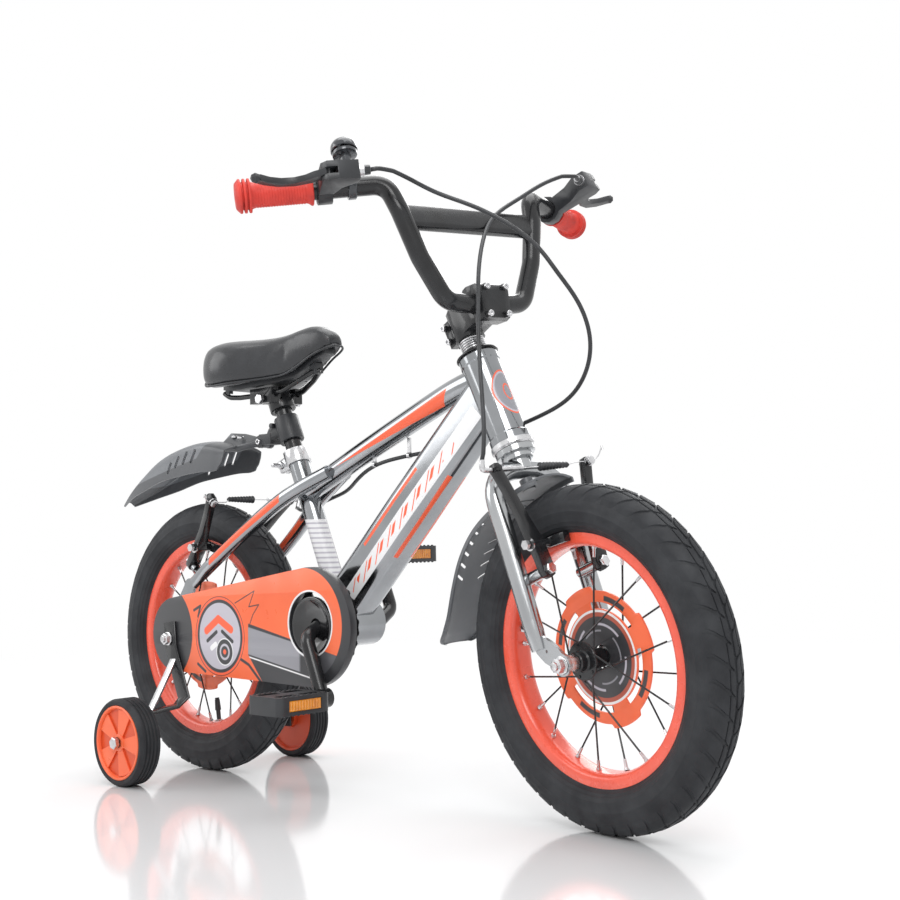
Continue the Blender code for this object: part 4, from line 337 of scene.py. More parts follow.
def ringTree():
    tree, given = newTree("ring of parts", (("Part", "Object"), ("Count", "Int"), ("Phase", "Float"),
                                            ("Finish", "Material")))
    line = addNode(tree, "GeometryNodeMeshLine", {"Count": given["Count"], "Offset": (0, 0, 0)})
    index = addNode(tree, "GeometryNodeInputIndex").outputs[0]
    share = addNode(tree, "ShaderNodeMath", {0: 2 * math.pi, 1: given["Count"]}, operation="DIVIDE")
    turn = addNode(tree, "ShaderNodeMath", {0: index, 1: share.outputs[0]}, operation="MULTIPLY")
    start = addNode(tree, "ShaderNodeMath", {0: turn.outputs[0], 1: given["Phase"]})
    vector = addNode(tree, "ShaderNodeCombineXYZ", {"Y": start.outputs[0]})
    rotation = addNode(tree, "FunctionNodeEulerToRotation", {0: vector.outputs[0]})
    copies = copyAt(tree, given["Part"], {"Points": line.outputs[0], "Rotation": rotation.outputs[0]})
    return endTree(tree, copies, given["Finish"])


def pathTree():
    tree, given = newTree("parts along a path", (("Geometry", "Geometry"), ("Part", "Object"),
                                                 ("Other", "Object"), ("Count", "Int"),
                                                 ("Finish", "Material")))
    curve = addNode(tree, "GeometryNodeMeshToCurve", {0: given["Geometry"]})
    even = addNode(tree, "GeometryNodeResampleCurve", {"Curve": curve.outputs[0],
                                                       "Count": given["Count"]})
    spots = addNode(tree, "GeometryNodeCurveToPoints", {"Curve": even.outputs[0]}, mode="EVALUATED")
    index = addNode(tree, "GeometryNodeInputIndex").outputs[0]
    odd = addNode(tree, "ShaderNodeMath", {0: index, 1: 2}, operation="MODULO").outputs[0]
    others = addNode(tree, "FunctionNodeBooleanMath", {0: odd}, operation="NOT").outputs[0]
    align = addNode(tree, "FunctionNodeAlignRotationToVector", {"Vector": spots.outputs["Tangent"]},
                    axis="X", pivot_axis="Y")
    both = addNode(tree, "GeometryNodeJoinGeometry")
    for label, chosen in (("Part", odd), ("Other", others)):
        copies = copyAt(tree, given[label], {"Points": spots.outputs["Points"], "Selection": chosen,
                                             "Rotation": align.outputs[0]})
        tree.links.new(copies, both.inputs[0])
    return endTree(tree, both.outputs[0], given["Finish"])


trees = {"ring": ringTree(), "path": pathTree()}


def runTree(kind, base, inputs):
    holder = sceneObject("holder", base)
    step = holder.modifiers.new(kind, "NODES")
    step.node_group = trees[kind]
    for item in trees[kind].interface.items_tree:
        if item.in_out == "INPUT" and item.name in inputs:
            step[item.identifier] = inputs[item.name]
    bpy.context.view_layer.update()
    return taken(holder)


def ringOf(part, count, finish, phase=0.0):
    source = sceneObject("part", part)
    made = runTree("ring", bpy.data.meshes.new("empty"),
                   {"Part": source, "Count": count, "Phase": phase, "Finish": finishes[finish]})
    bpy.data.objects.remove(source)
    return made


# finishes


class Field:
    # a number that varies over a surface: working with fields adds math nodes to the finish
    def __init__(self, tree, socket):
        self.tree, self.socket = tree, socket

    def math(self, operation, *others):
        values = {i: getattr(value, "socket", value) for i, value in enumerate((self, *others))}
        return Field(self.tree, addNode(self.tree, "ShaderNodeMath", values,
                                        operation=operation).outputs[0])

    def __add__(self, other):
        return self.math("ADD", other)

    def __sub__(self, other):
        return self.math("SUBTRACT", other)

    def __rsub__(self, other):
        return Field(self.tree, other).math("SUBTRACT", self)

    def __mul__(self, other):
        return self.math("MULTIPLY", other)

    def __abs__(self):
        return self.math("ABSOLUTE")

    def __or__(self, other):
        return self.math("MAXIMUM", other)

    def above(self, low, high):
        return Field(self.tree, spread(self.tree, self.socket, 0.0, 1.0, low, high))

    def below(self, low, high):
        return Field(self.tree, spread(self.tree, self.socket, 1.0, 0.0, low, high))

    def between(self, low, high, soft=0.0004):
        return self.above(low - soft, low + soft) * self.below(high - soft, high + soft)


def spread(tree, value, low, high, start=0.0, end=1.0):
    ends = {"Value": value, "From Min": start, "From Max": end, "To Min": low, "To Max": high}
    return addNode(tree, "ShaderNodeMapRange", ends).outputs[0]


def noiseOf(tree, place, scale, detail, rough=0.55):
    values = {"Vector": place, "Scale": scale, "Detail": detail, "Roughness": rough}
    return addNode(tree, "ShaderNodeTexNoise", values).outputs[0]


def blendColour(tree, amount, a, b):
    made = addNode(tree, "ShaderNodeMix", {0: amount}, data_type="RGBA")
    for key, value in ((6, a), (7, b)):
        if isinstance(value, bpy.types.NodeSocket):
            tree.links.new(value, made.inputs[key])
        else:
            made.inputs[key].default_value = (*value[:3], 1.0)
    return made.outputs[2]


finishLooks = {"smokyChrome": dict(colour=(0.36, 0.37, 0.385), dark=(0.27, 0.28, 0.29), metal=1.0,
                                   rough=0.13, roughSpread=0.05, patch=9, grain=0.015, grainScale=260),
               "brightSteel": dict(colour=(0.7, 0.7, 0.71), dark=(0.52, 0.52, 0.53), metal=1.0,
                                   rough=0.27, roughSpread=0.1, patch=60, grain=0.06, grainScale=700),
               "blackEnamel": dict(colour=(0.017, 0.018, 0.02), dark=(0.008, 0.008, 0.009), rough=0.24,
                                   roughSpread=0.08, patch=25, grain=0.02, grainScale=500, coat=0.25,
                                   gleam=0.35), "mouldedPlastic": dict(colour=(0.03, 0.032, 0.036),
                                                                       dark=(0.018, 0.019, 0.021),
                                                                       rough=0.4, roughSpread=0.08,
                                                                       patch=20, grain=0.1,
                                                                       grainScale=1400),
               "mudguardPlastic": dict(colour=(0.145, 0.152, 0.162), dark=(0.115, 0.121, 0.13),
                                       rough=0.36, roughSpread=0.07, patch=14, grain=0.08,
                                       grainScale=1200), "bellCap": dict(colour=(0.055, 0.06, 0.068),
                                                                         dark=(0.035, 0.038, 0.043),
                                                                         metal=0.3, rough=0.14,
                                                                         roughSpread=0.05, patch=50,
                                                                         grain=0.01, grainScale=400,
                                                                         coat=0.6),
               "gripRubber": dict(colour=(0.74, 0.05, 0.032), dark=(0.55, 0.032, 0.022), rough=0.52,
                                  roughSpread=0.1, patch=40, grain=0.2, grainScale=1500),
               "orangePlastic": dict(colour=(0.94, 0.17, 0.062), dark=(0.88, 0.145, 0.05), rough=0.33,
                                     roughSpread=0.07, patch=18, grain=0.03, grainScale=900),
               "orangeEnamel": dict(colour=(0.93, 0.115, 0.06), dark=(0.84, 0.09, 0.045), rough=0.28,
                                    roughSpread=0.06, patch=22, grain=0.02, grainScale=600, coat=0.4),
               "tyreRubber": dict(colour=(0.04, 0.042, 0.046), dark=(0.024, 0.025, 0.028), rough=0.58,
                                  roughSpread=0.1, patch=30, grain=0.14, grainScale=1100, gleam=0.2),
               "vinyl": dict(colour=(0.03, 0.032, 0.036), dark=(0.021, 0.022, 0.025), rough=0.3,
                             roughSpread=0.07, patch=30, grain=0.22, grainScale=620, coat=0.15),
               "amber": dict(colour=(0.85, 0.33, 0.03), dark=(0.62, 0.2, 0.015), rough=0.16,
                             roughSpread=0.05, patch=90, grain=0.5, grainScale=420, coat=0.5),
               "blackChain": dict(colour=(0.045, 0.045, 0.048), dark=(0.018, 0.018, 0.019), metal=0.9,
                                  rough=0.38, roughSpread=0.1, patch=80, grain=0.05, grainScale=800),
               "discPlastic": dict(colour=(0.055, 0.052, 0.055), dark=(0.035, 0.033, 0.036), rough=0.35,
                                   roughSpread=0.08, patch=40, grain=0.05, grainScale=900),}


def newFinish(name, look):
    material = bpy.data.materials.new(name)
    material.use_nodes = True
    tree = material.node_tree
    shader = tree.nodes["Principled BSDF"]
    place = tree.nodes.new("ShaderNodeTexCoord").outputs["Object"]
    patches = spread(tree, noiseOf(tree, place, look["patch"], 4.0), 0.0, 1.0, 0.35, 0.65)
    colour = blendColour(tree, patches, look["dark"], look["colour"])
    tree.links.new(colour, shader.inputs["Base Color"])
    shader.inputs["Specular IOR Level"].default_value = look.get("gleam", 0.5)
    smudge = noiseOf(tree, place, look["patch"] * 2.3, 5.0, 0.6)
    low, high = look["rough"] - look["roughSpread"], look["rough"] + look["roughSpread"]
    tree.links.new(spread(tree, smudge, low, high, 0.3, 0.7), shader.inputs["Roughness"])
    bump = addNode(tree, "ShaderNodeBump", {"Height": noiseOf(tree, place, look["grainScale"], 2.0),
                                            "Strength": look["grain"], "Distance": 0.0006})
    tree.links.new(bump.outputs[0], shader.inputs["Normal"])
    shader.inputs["Metallic"].default_value = look.get("metal", 0.0)
    shader.inputs["Coat Weight"].default_value = look.get("coat", 0.0)
    shader.inputs["Coat Roughness"].default_value = 0.12
    return {"material": material, "tree": tree, "shader": shader, "place": place, "colour": colour,
            "bump": bump}


def alike(source, *names, **changes):
    for name in names:
        finishLooks[name] = dict(finishLooks[source], **changes)


alike("orangePlastic", "guardPattern", "trainingOrange", "frontDisc", "rearDisc")
alike("smokyChrome", "headChrome", "topDecal", "downDecal", "stayDecal", "seatDecal")
alike("smokyChrome", "forkChrome", colour=(0.47, 0.48, 0.49), dark=(0.38, 0.39, 0.4), rough=0.19)
# the rear mudguard's lighter copy of the plastic stands for its lit top; painted shade darkens its lower side and
# front end further below
alike("mudguardPlastic", "mudguardLitAndShaded", colour=(0.2, 0.21, 0.225), dark=(0.165, 0.173, 0.186))
alike("blackEnamel", "glossBlack", rough=0.14, roughSpread=0.05, coat=0.8)
looks = {name: newFinish(name, look) for name, look in finishLooks.items()}
finishes = {name: made["material"] for name, made in looks.items()}
print("finishes made:", len(finishes))

nodeFinishes = {"steel": "brightSteel", "frame_paint": "smokyChrome", "black_metal": "blackEnamel",
                "black_plastic": "mouldedPlastic", "bell_cap": "bellCap", "grip_rubber": "gripRubber",
                "orange_plastic": "orangePlastic", "orange_rim": "orangeEnamel",
                "tyre_rubber": "tyreRubber", "vinyl": "vinyl",}
for entry in frame["record"]["subparts"]:
    carried = nodes[entry["node"]]
    carried.data.materials.clear()
    carried.data.materials.append(finishes[nodeFinishes[entry["material_slot"]]])
for label in ("front_mudguard", "rear_mudguard"):
    nodes[label].material_slots[0].material = finishes["mudguardPlastic"]


# pieces that stand for the frame's own solids, and pieces added to them
nodeBody, nodeSlot = {}, {entry["node"]: entry["material_slot"] for entry in frame["record"]["subparts"]}
for bodyName, members in frame["record"]["behaviour"]["bodies"].items():
    nodeBody.update({member: bodyName for member in members})


def dress(name, mesh, place, finish, node, sharp=30, bevel=0.0):
    return piece(name, mesh, place, nodeBody[node], finish, node, sharp, bevel)


def extra(name, mesh, place, body, sharp=30, finish="brightSteel"):
    return piece(name, mesh, place, body, finish, None, sharp)


def polished(node, finish, bevel, sharp=38):
    # a merged copy of a solid, with its corners eased and its round faces shaded round
    bm = bmesh.new()
    bm.from_mesh(nodes[node].data)
    bmesh.ops.remove_doubles(bm, verts=bm.verts, dist=0.00001)
    bmesh.ops.dissolve_limit(bm, angle_limit=math.radians(0.6), verts=bm.verts, edges=bm.edges)
    mesh = bpy.data.meshes.new(node)
    bm.to_mesh(mesh)
    bm.free()
    return dress(node + "_shaped", mesh, Matrix.Identity(4), finish, node, sharp, bevel)


def trimmed(mesh, *cutters):
    tools = [sceneObject("cutter", cutter) for cutter in cutters]
    cut = dict(operation="DIFFERENCE", solver="EXACT")
    made = worked(mesh, *[("BOOLEAN", dict(cut, object=tool)) for tool in tools])
    for tool in tools:
        bpy.data.objects.remove(tool)
    return made


def pipe(start, end, outer, inner, sides=48):
    start, end = Vector(start), Vector(end)
    length = (end - start).length
    shape = revolve([(inner, 0), (outer - 0.0004, 0), (outer, 0.0004), (outer, length - 0.0004),
                     (outer - 0.0004, length), (inner, length)], sides)
    along = (end - start).normalized()
    side = along.orthogonal().normalized()
    return placed(shape, axesAt(start, side, along, side.cross(along)))


def hexBolt(across, height):
    # hexagon head with a domed top, its base at the origin and its axis along Z
    flat = across / 2 / math.cos(math.pi / 6)
    turns = [math.pi / 3 * i for i in range(6)]
    low = [Vector((flat * math.cos(turn), flat * math.sin(turn), 0)) for turn in turns]
    shoulder, top = Vector((0, 0, height * 0.86)), Vector((0, 0, height))
    return loft([low, [v + shoulder for v in low], [v * 0.86 + top for v in low]])


def capBolt(radius, height):
    # round head with a round recess, its axis along Z
    rim = [(0.00004, 0.0), (radius, 0.0), (radius, height * 0.82), (radius * 0.88, height),
           (radius * 0.52, height), (radius * 0.48, height * 0.45), (0.00004, height * 0.45)]
    return placed(revolve(rim, 24), upright)


def aimed(at, direction):
    # a place whose Z runs along direction
    z = Vector(direction).normalized()
    x = z.orthogonal().normalized()
    return axesAt(Vector(at), x, z.cross(x), z)


# wheels
wheel = {"radius": 0.183, "crown": 0.1812, "crownHalf": 0.0262, "crownFall": 0.024, "steps": 144,
         "blocks": 46, "bed": 0.1178, "spokes": 20, "spokeRadius": 0.00105, "holeRadius": 0.0172,
         "swing": 58.0, "hubBarrel": 0.0118, "hubHalf": 0.033, "flange": 0.0205, "flangeAt": 0.022}


def bothWays(half, *middle):
    # a profile and its mirror image across the wheel's middle plane
    return half + list(middle) + [(r, -y) for r, y in reversed(half)]


def crownDrop(y):
    # outside radius of the tyre's casing at a distance y from its middle
    t = min(1.0, abs(y) / wheel["crownHalf"])
    return wheel["crown"] - wheel["crownFall"] * (1 - (1 - t ** 2.6) ** 0.62)


def tyreCasing():
    half = [(0.1275, 0.0133), (0.131, 0.0139), (0.1326, 0.0148), (0.134, 0.016), (0.1362, 0.0184),
            (0.1366, 0.0194), (0.1398, 0.0214), (0.1403, 0.0223), (0.144, 0.0238), (0.1448, 0.0245),
            (0.15, 0.0255), (0.154, 0.0259), (0.1546, 0.02615), (0.156, 0.02615), (0.1566, 0.0258),
            (0.161, 0.0256)]
    crown = []
    for i in range(14):
        y = 0.0252 * math.cos(math.radians(90 * (i + 1) / 14))
        crown.append((crownDrop(y), y))
    outer = bothWays(half + crown[:-1], crown[-1])
    return revolve(outer + [(0.1345, -0.01), (0.1345, 0.01)], wheel["steps"])


def treadBlock(yFrom, yTo, lean, span, rise=0.0016):
    # one raised block that follows the crown; lean is how far its outer end trails round the wheel
    top, low, rows = [], [], 6
    for i in range(rows + 1):
        t = i / rows
        y = yFrom + (yTo - yFrom) * t
        taper, fade = (1.0, 1.0) if 0 < i < rows else (0.78, 0.7)
        for side in (-1, 1):
            for out, height, width in ((top, rise, taper), (low, -0.0015, 1.06)):
                radius = crownDrop(y) + height * fade
                angle = lean * t + side * span * width / 2
                out.append((radius * math.cos(angle), y, radius * math.sin(angle)))
    points = top + low
    shift = len(top)
    faces = []
    for i in range(rows):
        a, b, c, d = 2 * i, 2 * i + 1, 2 * i + 3, 2 * i + 2
        faces += [(a, b, c, d), (a + shift, d + shift, c + shift, b + shift),
                  (a, d, d + shift, a + shift), (b, b + shift, c + shift, c)]
    faces += [(0, shift, shift + 1, 1), (2 * rows, 2 * rows + 1, 2 * rows + 1 + shift, 2 * rows + shift)]
    return meshOf(points, faces)


def tread():
    step = 2 * math.pi / wheel["blocks"]
    rings = []
    for sign in (1, -1):
        outer = treadBlock(sign * 0.0088, sign * 0.0236, 0.085, step * 0.8)
        inner = treadBlock(sign * 0.0016, sign * 0.0074, 0.035, step * 0.86, 0.0017)
        for part, phase in ((outer, 0.0 if sign > 0 else step / 2),
                            (inner, step * (0.25 if sign > 0 else 0.75))):
            rings.append(ringOf(part, wheel["blocks"], "tyreRubber", phase))
    return rings


def rimShape():
    half = [(0.1178, 0.006), (0.1184, 0.0098), (0.1206, 0.014), (0.1222, 0.0152), (0.1245, 0.0156),
            (0.1305, 0.0156), (0.1328, 0.0154), (0.133, 0.0148), (0.1328, 0.0138), (0.1265, 0.0136)]
    return revolve(bothWays(half), wheel["steps"])


def hubShape():
    end, at, flange = wheel["hubHalf"], wheel["flangeAt"], wheel["flange"]
    half = [(0.0052, end), (0.0094, end), (0.0104, end - 0.001), (0.0104, at + 0.003),
            (0.012, at + 0.0014), (flange - 0.0006, at + 0.0014), (flange, at + 0.0008),
            (flange, at - 0.0008), (flange - 0.0006, at - 0.0014), (0.0135, at - 0.0014),
            (wheel["hubBarrel"], at - 0.004), (0.0104, 0.006)]
    return revolve(bothWays(half, (0.0102, 0.0)), 48)


def spokeAndNipple(side, lead):
    hubAngle, hub = lead * math.radians(wheel["swing"]), wheel["holeRadius"]
    out = Vector((0, side * lead, 0))
    start = Vector((hub * math.cos(hubAngle), side * (wheel["flangeAt"] + lead * 0.0016),
                    hub * math.sin(hubAngle)))
    end = Vector((wheel["bed"] - 0.0004, side * 0.0022, 0.0))
    along = (end - start).normalized()
    head = rod(start - out * 0.0014, start + out * 0.0008, 0.0017, 10)
    wire = rod(start, end - along * 0.01, wheel["spokeRadius"], 10)
    nipple = joined(rod(end - along * 0.0115, end - along * 0.002, 0.0016, 8, 0.0019),
                    rod(end - along * 0.0026, end, 0.0024, 8, 0.003))
    return joined(wire, head), nipple


def discOutline():
    outline = []
    for degrees in range(0, 360, 2):
        turn = abs((degrees + 45) % 90 - 45)
        lift = min(1.0, max(0.0, (18.5 - turn) / 3.0))
        radius, angle = 0.07 + 0.0045 * lift * lift * (3 - 2 * lift), math.radians(degrees)
        outline.append((radius * math.cos(angle), radius * math.sin(angle)))
    return outline


def hubDisc(side):
    slits = [sectorOutline(45 + 90 * quarter, (0.058, 33, 16), (0.051, 33, 16)) for quarter in range(4)]
    low, high = sorted((side * 0.0055, side * 0.0079))
    return plate(discOutline(), low, high, [hole((0, 0), 0.0128, 60)] + slits)


def discCover(side):
    # raised dish in the middle of the disc, with a rolled border
    at = side * 0.0079
    profile = [(0.013, at), (0.013, at + side * 0.0012), (0.018, at + side * 0.0022),
               (0.03, at + side * 0.0016), (0.0425, at + side * 0.001), (0.0432, at + side * 0.0019),
               (0.049, at + side * 0.0019), (0.0496, at + side * 0.001), (0.0496, at)]
    return revolve(profile, 96)


for label, place, phase, side in (("front", frontPlace, 7.0, 1), ("rear", rearPlace, 1.0, -1)):
    body = label + "_wheel_set"
    dress(label + "_tyre_casing", joined(tyreCasing(), *tread()), place, "tyreRubber", label + "_tyre")
    dress(label + "_rim_ring", rimShape(), place, "orangeEnamel", label + "_rim")
    wires, nipples = [], []
    quarter = wheel["spokes"] // 4
    for k in range(4):
        wire, nipple = spokeAndNipple(1 if k % 2 == 0 else -1, 1 if (k // 2) % 2 == 0 else -1)
        start = -(math.radians(phase) + 2 * math.pi * k / wheel["spokes"])
        wires.append(ringOf(wire, quarter, "blackEnamel", start))
        nipples.append(ringOf(nipple, quarter, "brightSteel", start))
    dress(label + "_hub_and_spokes", joined(hubShape(), *wires), place, "blackEnamel", label + "_hub", 35)
    extra(label + "_nipples", joined(*nipples), place, body, 40)
    dress(label + "_disc", hubDisc(side), place, label + "Disc", label + "_hub_disc", 35, 0.0003)
    extra(label + "_disc_cover", discCover(side), place, body, 35, "discPlastic")
print("wheels built")


# frame tubes
tubes = {"headRadius": 0.022, "headLow": 0.256, "headHigh": 0.368, "topRadius": 0.015, "downWidth": 0.046,
         "downHeight": 0.056, "downCorner": 0.013, "seatRadius": 0.0135, "shellRadius": 0.0285,
         "shellHalf": 0.034, "bracket": (0.283, 0.0, 0.208), "seatTop": 0.429}
bracket = Vector(tubes["bracket"])


def onSeatTube(height):
    return Vector((0.2145 - 0.42 * (height - 0.3528), 0.0, height))


def acrossBracket(half):
    return bracket - Vector((0, half, 0)), bracket + Vector((0, half, 0))


def headRod():
    return placed(rod((0, 0, 0.2), (0, 0, 0.45), tubes["headRadius"] - 0.0005, 64), toBike @ headPlace)


lip = tubes["headRadius"] + 0.0012
low, high = tubes["headLow"], tubes["headHigh"]
headProfile = [(0.0172, low), (lip - 0.0004, low), (lip, low + 0.0004), (lip, low + 0.0086),
               (tubes["headRadius"], low + 0.0104), (tubes["headRadius"], high - 0.0104),
               (lip, high - 0.0086), (lip, high - 0.0004), (lip - 0.0004, high), (0.0172, high)]
dress("head_tube_shell", placed(revolve(headProfile, 72), upright), headPlace, "headChrome", "head_tube")

topPath = throughPoints([(0.53, 0, 0.4925), (0.5, 0, 0.489), (0.47, 0, 0.481), (0.44, 0, 0.47),
                         (0.4, 0, 0.454), (0.352, 0, 0.4345), (0.292, 0, 0.4095), (0.21, 0, 0.3742)],
                        0.012)
topScales = [1.0 - 0.13 * (i / (len(topPath) - 1)) ** 2 for i in range(len(topPath))]
topShape = sweep(topPath, circle(tubes["topRadius"], 40), topScales)
seatCut = rod(onSeatTube(0.26), onSeatTube(0.47), tubes["seatRadius"] - 0.0004, 48)
dress("top_tube_shell", trimmed(topShape, headRod(), seatCut), bikePlace, "topDecal", "top_tube")

downStart, downEnd = Vector((0.517, 0, 0.468)), Vector((0.2735, 0, 0.2236))
section = roundedSection(tubes["downWidth"], tubes["downHeight"], tubes["downCorner"], 8)
shellCut = rod(*acrossBracket(0.05), tubes["shellRadius"] - 0.0005, 64)
downPath = [downStart.lerp(downEnd, i / 12) for i in range(13)]
downScales = [(0.76 + 0.24 * min(1.0, i / 6), 1.0 + 0.05 * i / 12) for i in range(13)]
downShape = sweep(downPath, section, downScales, (0, -1, 0))
seatCut = rod(onSeatTube(0.1), onSeatTube(0.42), 0.0131, 48)
downShell = trimmed(downShape, shellCut, headRod(), seatCut)
dress("down_tube_shell", downShell, bikePlace, "downDecal", "down_tube")
seatPipe = pipe(onSeatTube(0.231), onSeatTube(tubes["seatTop"] - 0.0005), tubes["seatRadius"], 0.0117)
dress("seat_tube_shell", seatPipe, bikePlace, "seatDecal", "seat_tube")
shell = pipe(*acrossBracket(tubes["shellHalf"]), tubes["shellRadius"], 0.0258, 72)
dress("bracket_shell", shell, bikePlace, "smokyChrome", "bottom_bracket_shell")


pivotBolt = (0.011, 0.0042)  # across its flats, and high
rearArmTurn = 47.6  # how far the rear brake arms lean from upright


def stayShape():
    upper = throughPoints([(0.262, 0.013, 0.396), (0.223, 0.024, 0.379), (0.186, 0.033, 0.36),
                           (0.133, 0.045, 0.324), (0.08, 0.0515, 0.288), (0.034, 0.054, 0.257)], 0.012)
    last = len(upper) - 1
    scales = [((1 - 0.12 * i / last) * (0.45 + 0.55 * min(1.0, (last - i) / 3.0)), 1 - 0.12 * i / last)
              for i in range(last + 1)]
    seatStay = sweep(upper, circle(0.0098, 28), scales, (0, 1, 0))
    lower = throughPoints([(0.27, 0.0215, 0.204), (0.235, 0.029, 0.2025), (0.19, 0.0365, 0.2),
                           (0.14, 0.04, 0.196), (0.09, 0.047, 0.192), (0.028, 0.054, 0.187)], 0.012)
    last = len(lower) - 1
    scales = [((1 - 0.15 * i / last) * (0.4 + 0.6 * min(1.0, (last - i) / 3.0)), 1.0)
              for i in range(last + 1)]
    chainStay = sweep(lower, circle(0.008, 28), scales, (0, 1, 0))
    outline = arcPoints((0.027, 0.252), 0.0115, 10, 170, 14)
    outline += [(0.004, 0.238), (-0.006, 0.22), (-0.012, 0.205)]
    outline += arcPoints((0.0, wheel["radius"]), 0.0155, 140, 250, 10)
    outline += [(0.008, 0.168), (0.034, 0.179), (0.042, 0.183), (0.042, 0.192), (0.03, 0.196),
                (0.022, 0.201), (0.02, 0.206), (0.023, 0.216), (0.029, 0.231)]
    dropout = plate(outline, 0.052, 0.056, [hole((0, wheel["radius"]), 0.0052)])
    turn = math.radians(rearArmTurn)
    boss = Vector((-math.sin(turn), 0, math.cos(turn)))
    pivot = Vector((0.013, 0.0395, 0.283))
    face = pivot - boss * 0.0048
    tail = pivot + boss * 0.0051
    parts = [rod(face - boss * 0.014, face, 0.0065, 32),
             rod(face - boss * 0.002, tail + boss * 0.001, 0.0037, 20),
             sweep([face - boss * 0.008, (0.04, 0.048, 0.269), (0.048, 0.053, 0.266)], circle(0.006, 20))]
    bolt = placed(hexBolt(*pivotBolt), aimed(tail, boss))
    tubeCut = rod(onSeatTube(0.26), onSeatTube(0.42), tubes["seatRadius"] - 0.0006, 48)
    return joined(trimmed(seatStay, tubeCut), trimmed(chainStay, shellCut.copy()), dropout, *parts), bolt


stay, stayBolt = stayShape()
for side, turnOver in (("left", False), ("right", True)):
    shape, bolt = (mirrored(part) if turnOver else part for part in (stay, stayBolt))
    dress(side + "_stay", shape, bikePlace, "stayDecal", side + "_rear_stay", 35)
    extra(side + "_rear_pivot_bolt", bolt, bikePlace, "frame")
print("frame tubes built")


# fork and front end
fork = {"spread": 0.05, "leg": 0.0108, "tilt": 6.34, "steererTop": 0.4285, "lean": 5.0}


def legU(s):
    return -0.0024 - (0.2 - s) * math.tan(math.radians(fork["tilt"]))


def forkShape():
    path = [(0, 0, 0.2245), (-0.0004, 0.018, 0.2235), (-0.0008, 0.034, 0.218), (-0.0013, 0.045, 0.207)]
    path += [(legU(height), fork["spread"], height) for height in (0.19, 0.15, 0.1, 0.06, 0.026)]
    path = throughPoints(path, 0.007)
    last = len(path) - 1
    scales = []
    for i, p in enumerate(path):
        taper = 1.0 - 0.03 * min(1, max(0, (0.19 - p.z) / 0.09))
        foot = max(0.0, (0.045 - p.z) / 0.019) if i > last // 2 else 0.0
        scales.append((taper * (1 - 0.12 * foot), taper * (1 - 0.22 * foot)))
    leg = sweep(path, circle(fork["leg"], 36), scales, (1, 0, 0))
    tip = [(legU(0.042) - 0.0055, 0.042), (legU(0.042) + 0.0055, 0.042), (0.002, 0.025), (0.01, 0.0105)]
    tip += arcPoints((0.0036, 0.0), 0.0118, 35, -165, 18)
    tip += [(-0.012, 0.004), (-0.019, 0.011), (-0.026, 0.024)]
    holes = [hole((0.0036, 0.0), 0.0053), hole((-0.0105, 0.0205), 0.0016, 12)]
    dropout = plate(tip, fork["spread"] - 0.002, fork["spread"] + 0.002, holes)
    lean = math.radians(fork["lean"])
    forward = Vector((math.cos(lean), 0, -math.sin(lean)))
    base = Vector((legU(0.101), 0.0395, 0.1005))
    boss = rod(base, base + forward * 0.0293, 0.0065, 32)
    stud = rod(base + forward * 0.028, base + forward * 0.0405, 0.0037, 20)
    bolt = placed(hexBolt(*pivotBolt), aimed(base + forward * 0.0392, forward))
    left = joined(leg, dropout, boss, stud)
    collar = revolve([(0.0128, 0.2345), (0.0172, 0.2345), (0.0176, 0.235), (0.0176, 0.2408),
                      (0.022, 0.2412), (0.0226, 0.242), (0.0226, 0.248), (0.0128, 0.2482)], 64)
    steerer = rod((0, 0, 0.222), (0, 0, fork["steererTop"]), 0.0127, 40)
    return joined(left, mirrored(left), placed(collar, upright), steerer), bolt


forkMesh, forkBolt = forkShape()
dress("fork_shell", forkMesh, steerPlace, "forkChrome", "fork", 35)
extra("front_pivot_bolts", joined(forkBolt, mirrored(forkBolt)), steerPlace, "steering_set")

stack = [(0.0129, 0.3712), (0.0245, 0.37), (0.025, 0.3706), (0.0248, 0.3716), (0.018, 0.3732),
         (0.016, 0.3752), (0.015, 0.3756), (0.015, 0.3768), (0.0129, 0.3768)]
dress("headset_cover", placed(revolve(stack, 56), upright), steerPlace, "blackEnamel", "headset_top")
rings = []
for i in range(5):
    s = 0.3776 + 0.003 * i
    rings.append(revolve([(0.0129, s), (0.0143, s), (0.0149, s + 0.0007), (0.0149, s + 0.0013),
                          (0.0143, s + 0.002), (0.0129, s + 0.002)], 48))
extra("headset_rings", placed(joined(*rings), upright), steerPlace, "steering_set", 25)
for node in ("stem", "stem_face_plate"):
    polished(node, "blackEnamel", 0.0008)
tilt = math.radians(19.3)
plateAhead = Vector((math.cos(tilt), 0, -math.sin(tilt)))
plateUp = Vector((math.sin(tilt), 0, math.cos(tilt)))
barMiddle = Vector((0.044, 0, 0.413))
bolts = []
for across in (-0.0135, 0.0135):
    for rise in (-0.0155, 0.0155):
        spot = barMiddle + plateAhead * 0.0204 + plateUp * rise + Vector((0, across, 0))
        bolts.append(placed(capBolt(0.0036, 0.003), aimed(spot, plateAhead)))
for height in (0.4035, 0.4215):
    bolts.append(placed(capBolt(0.0036, 0.003), aimed((-0.0215, -0.0134, height), (0, -1, 0))))
extra("stem_bolts", joined(*bolts), steerPlace, "steering_set")

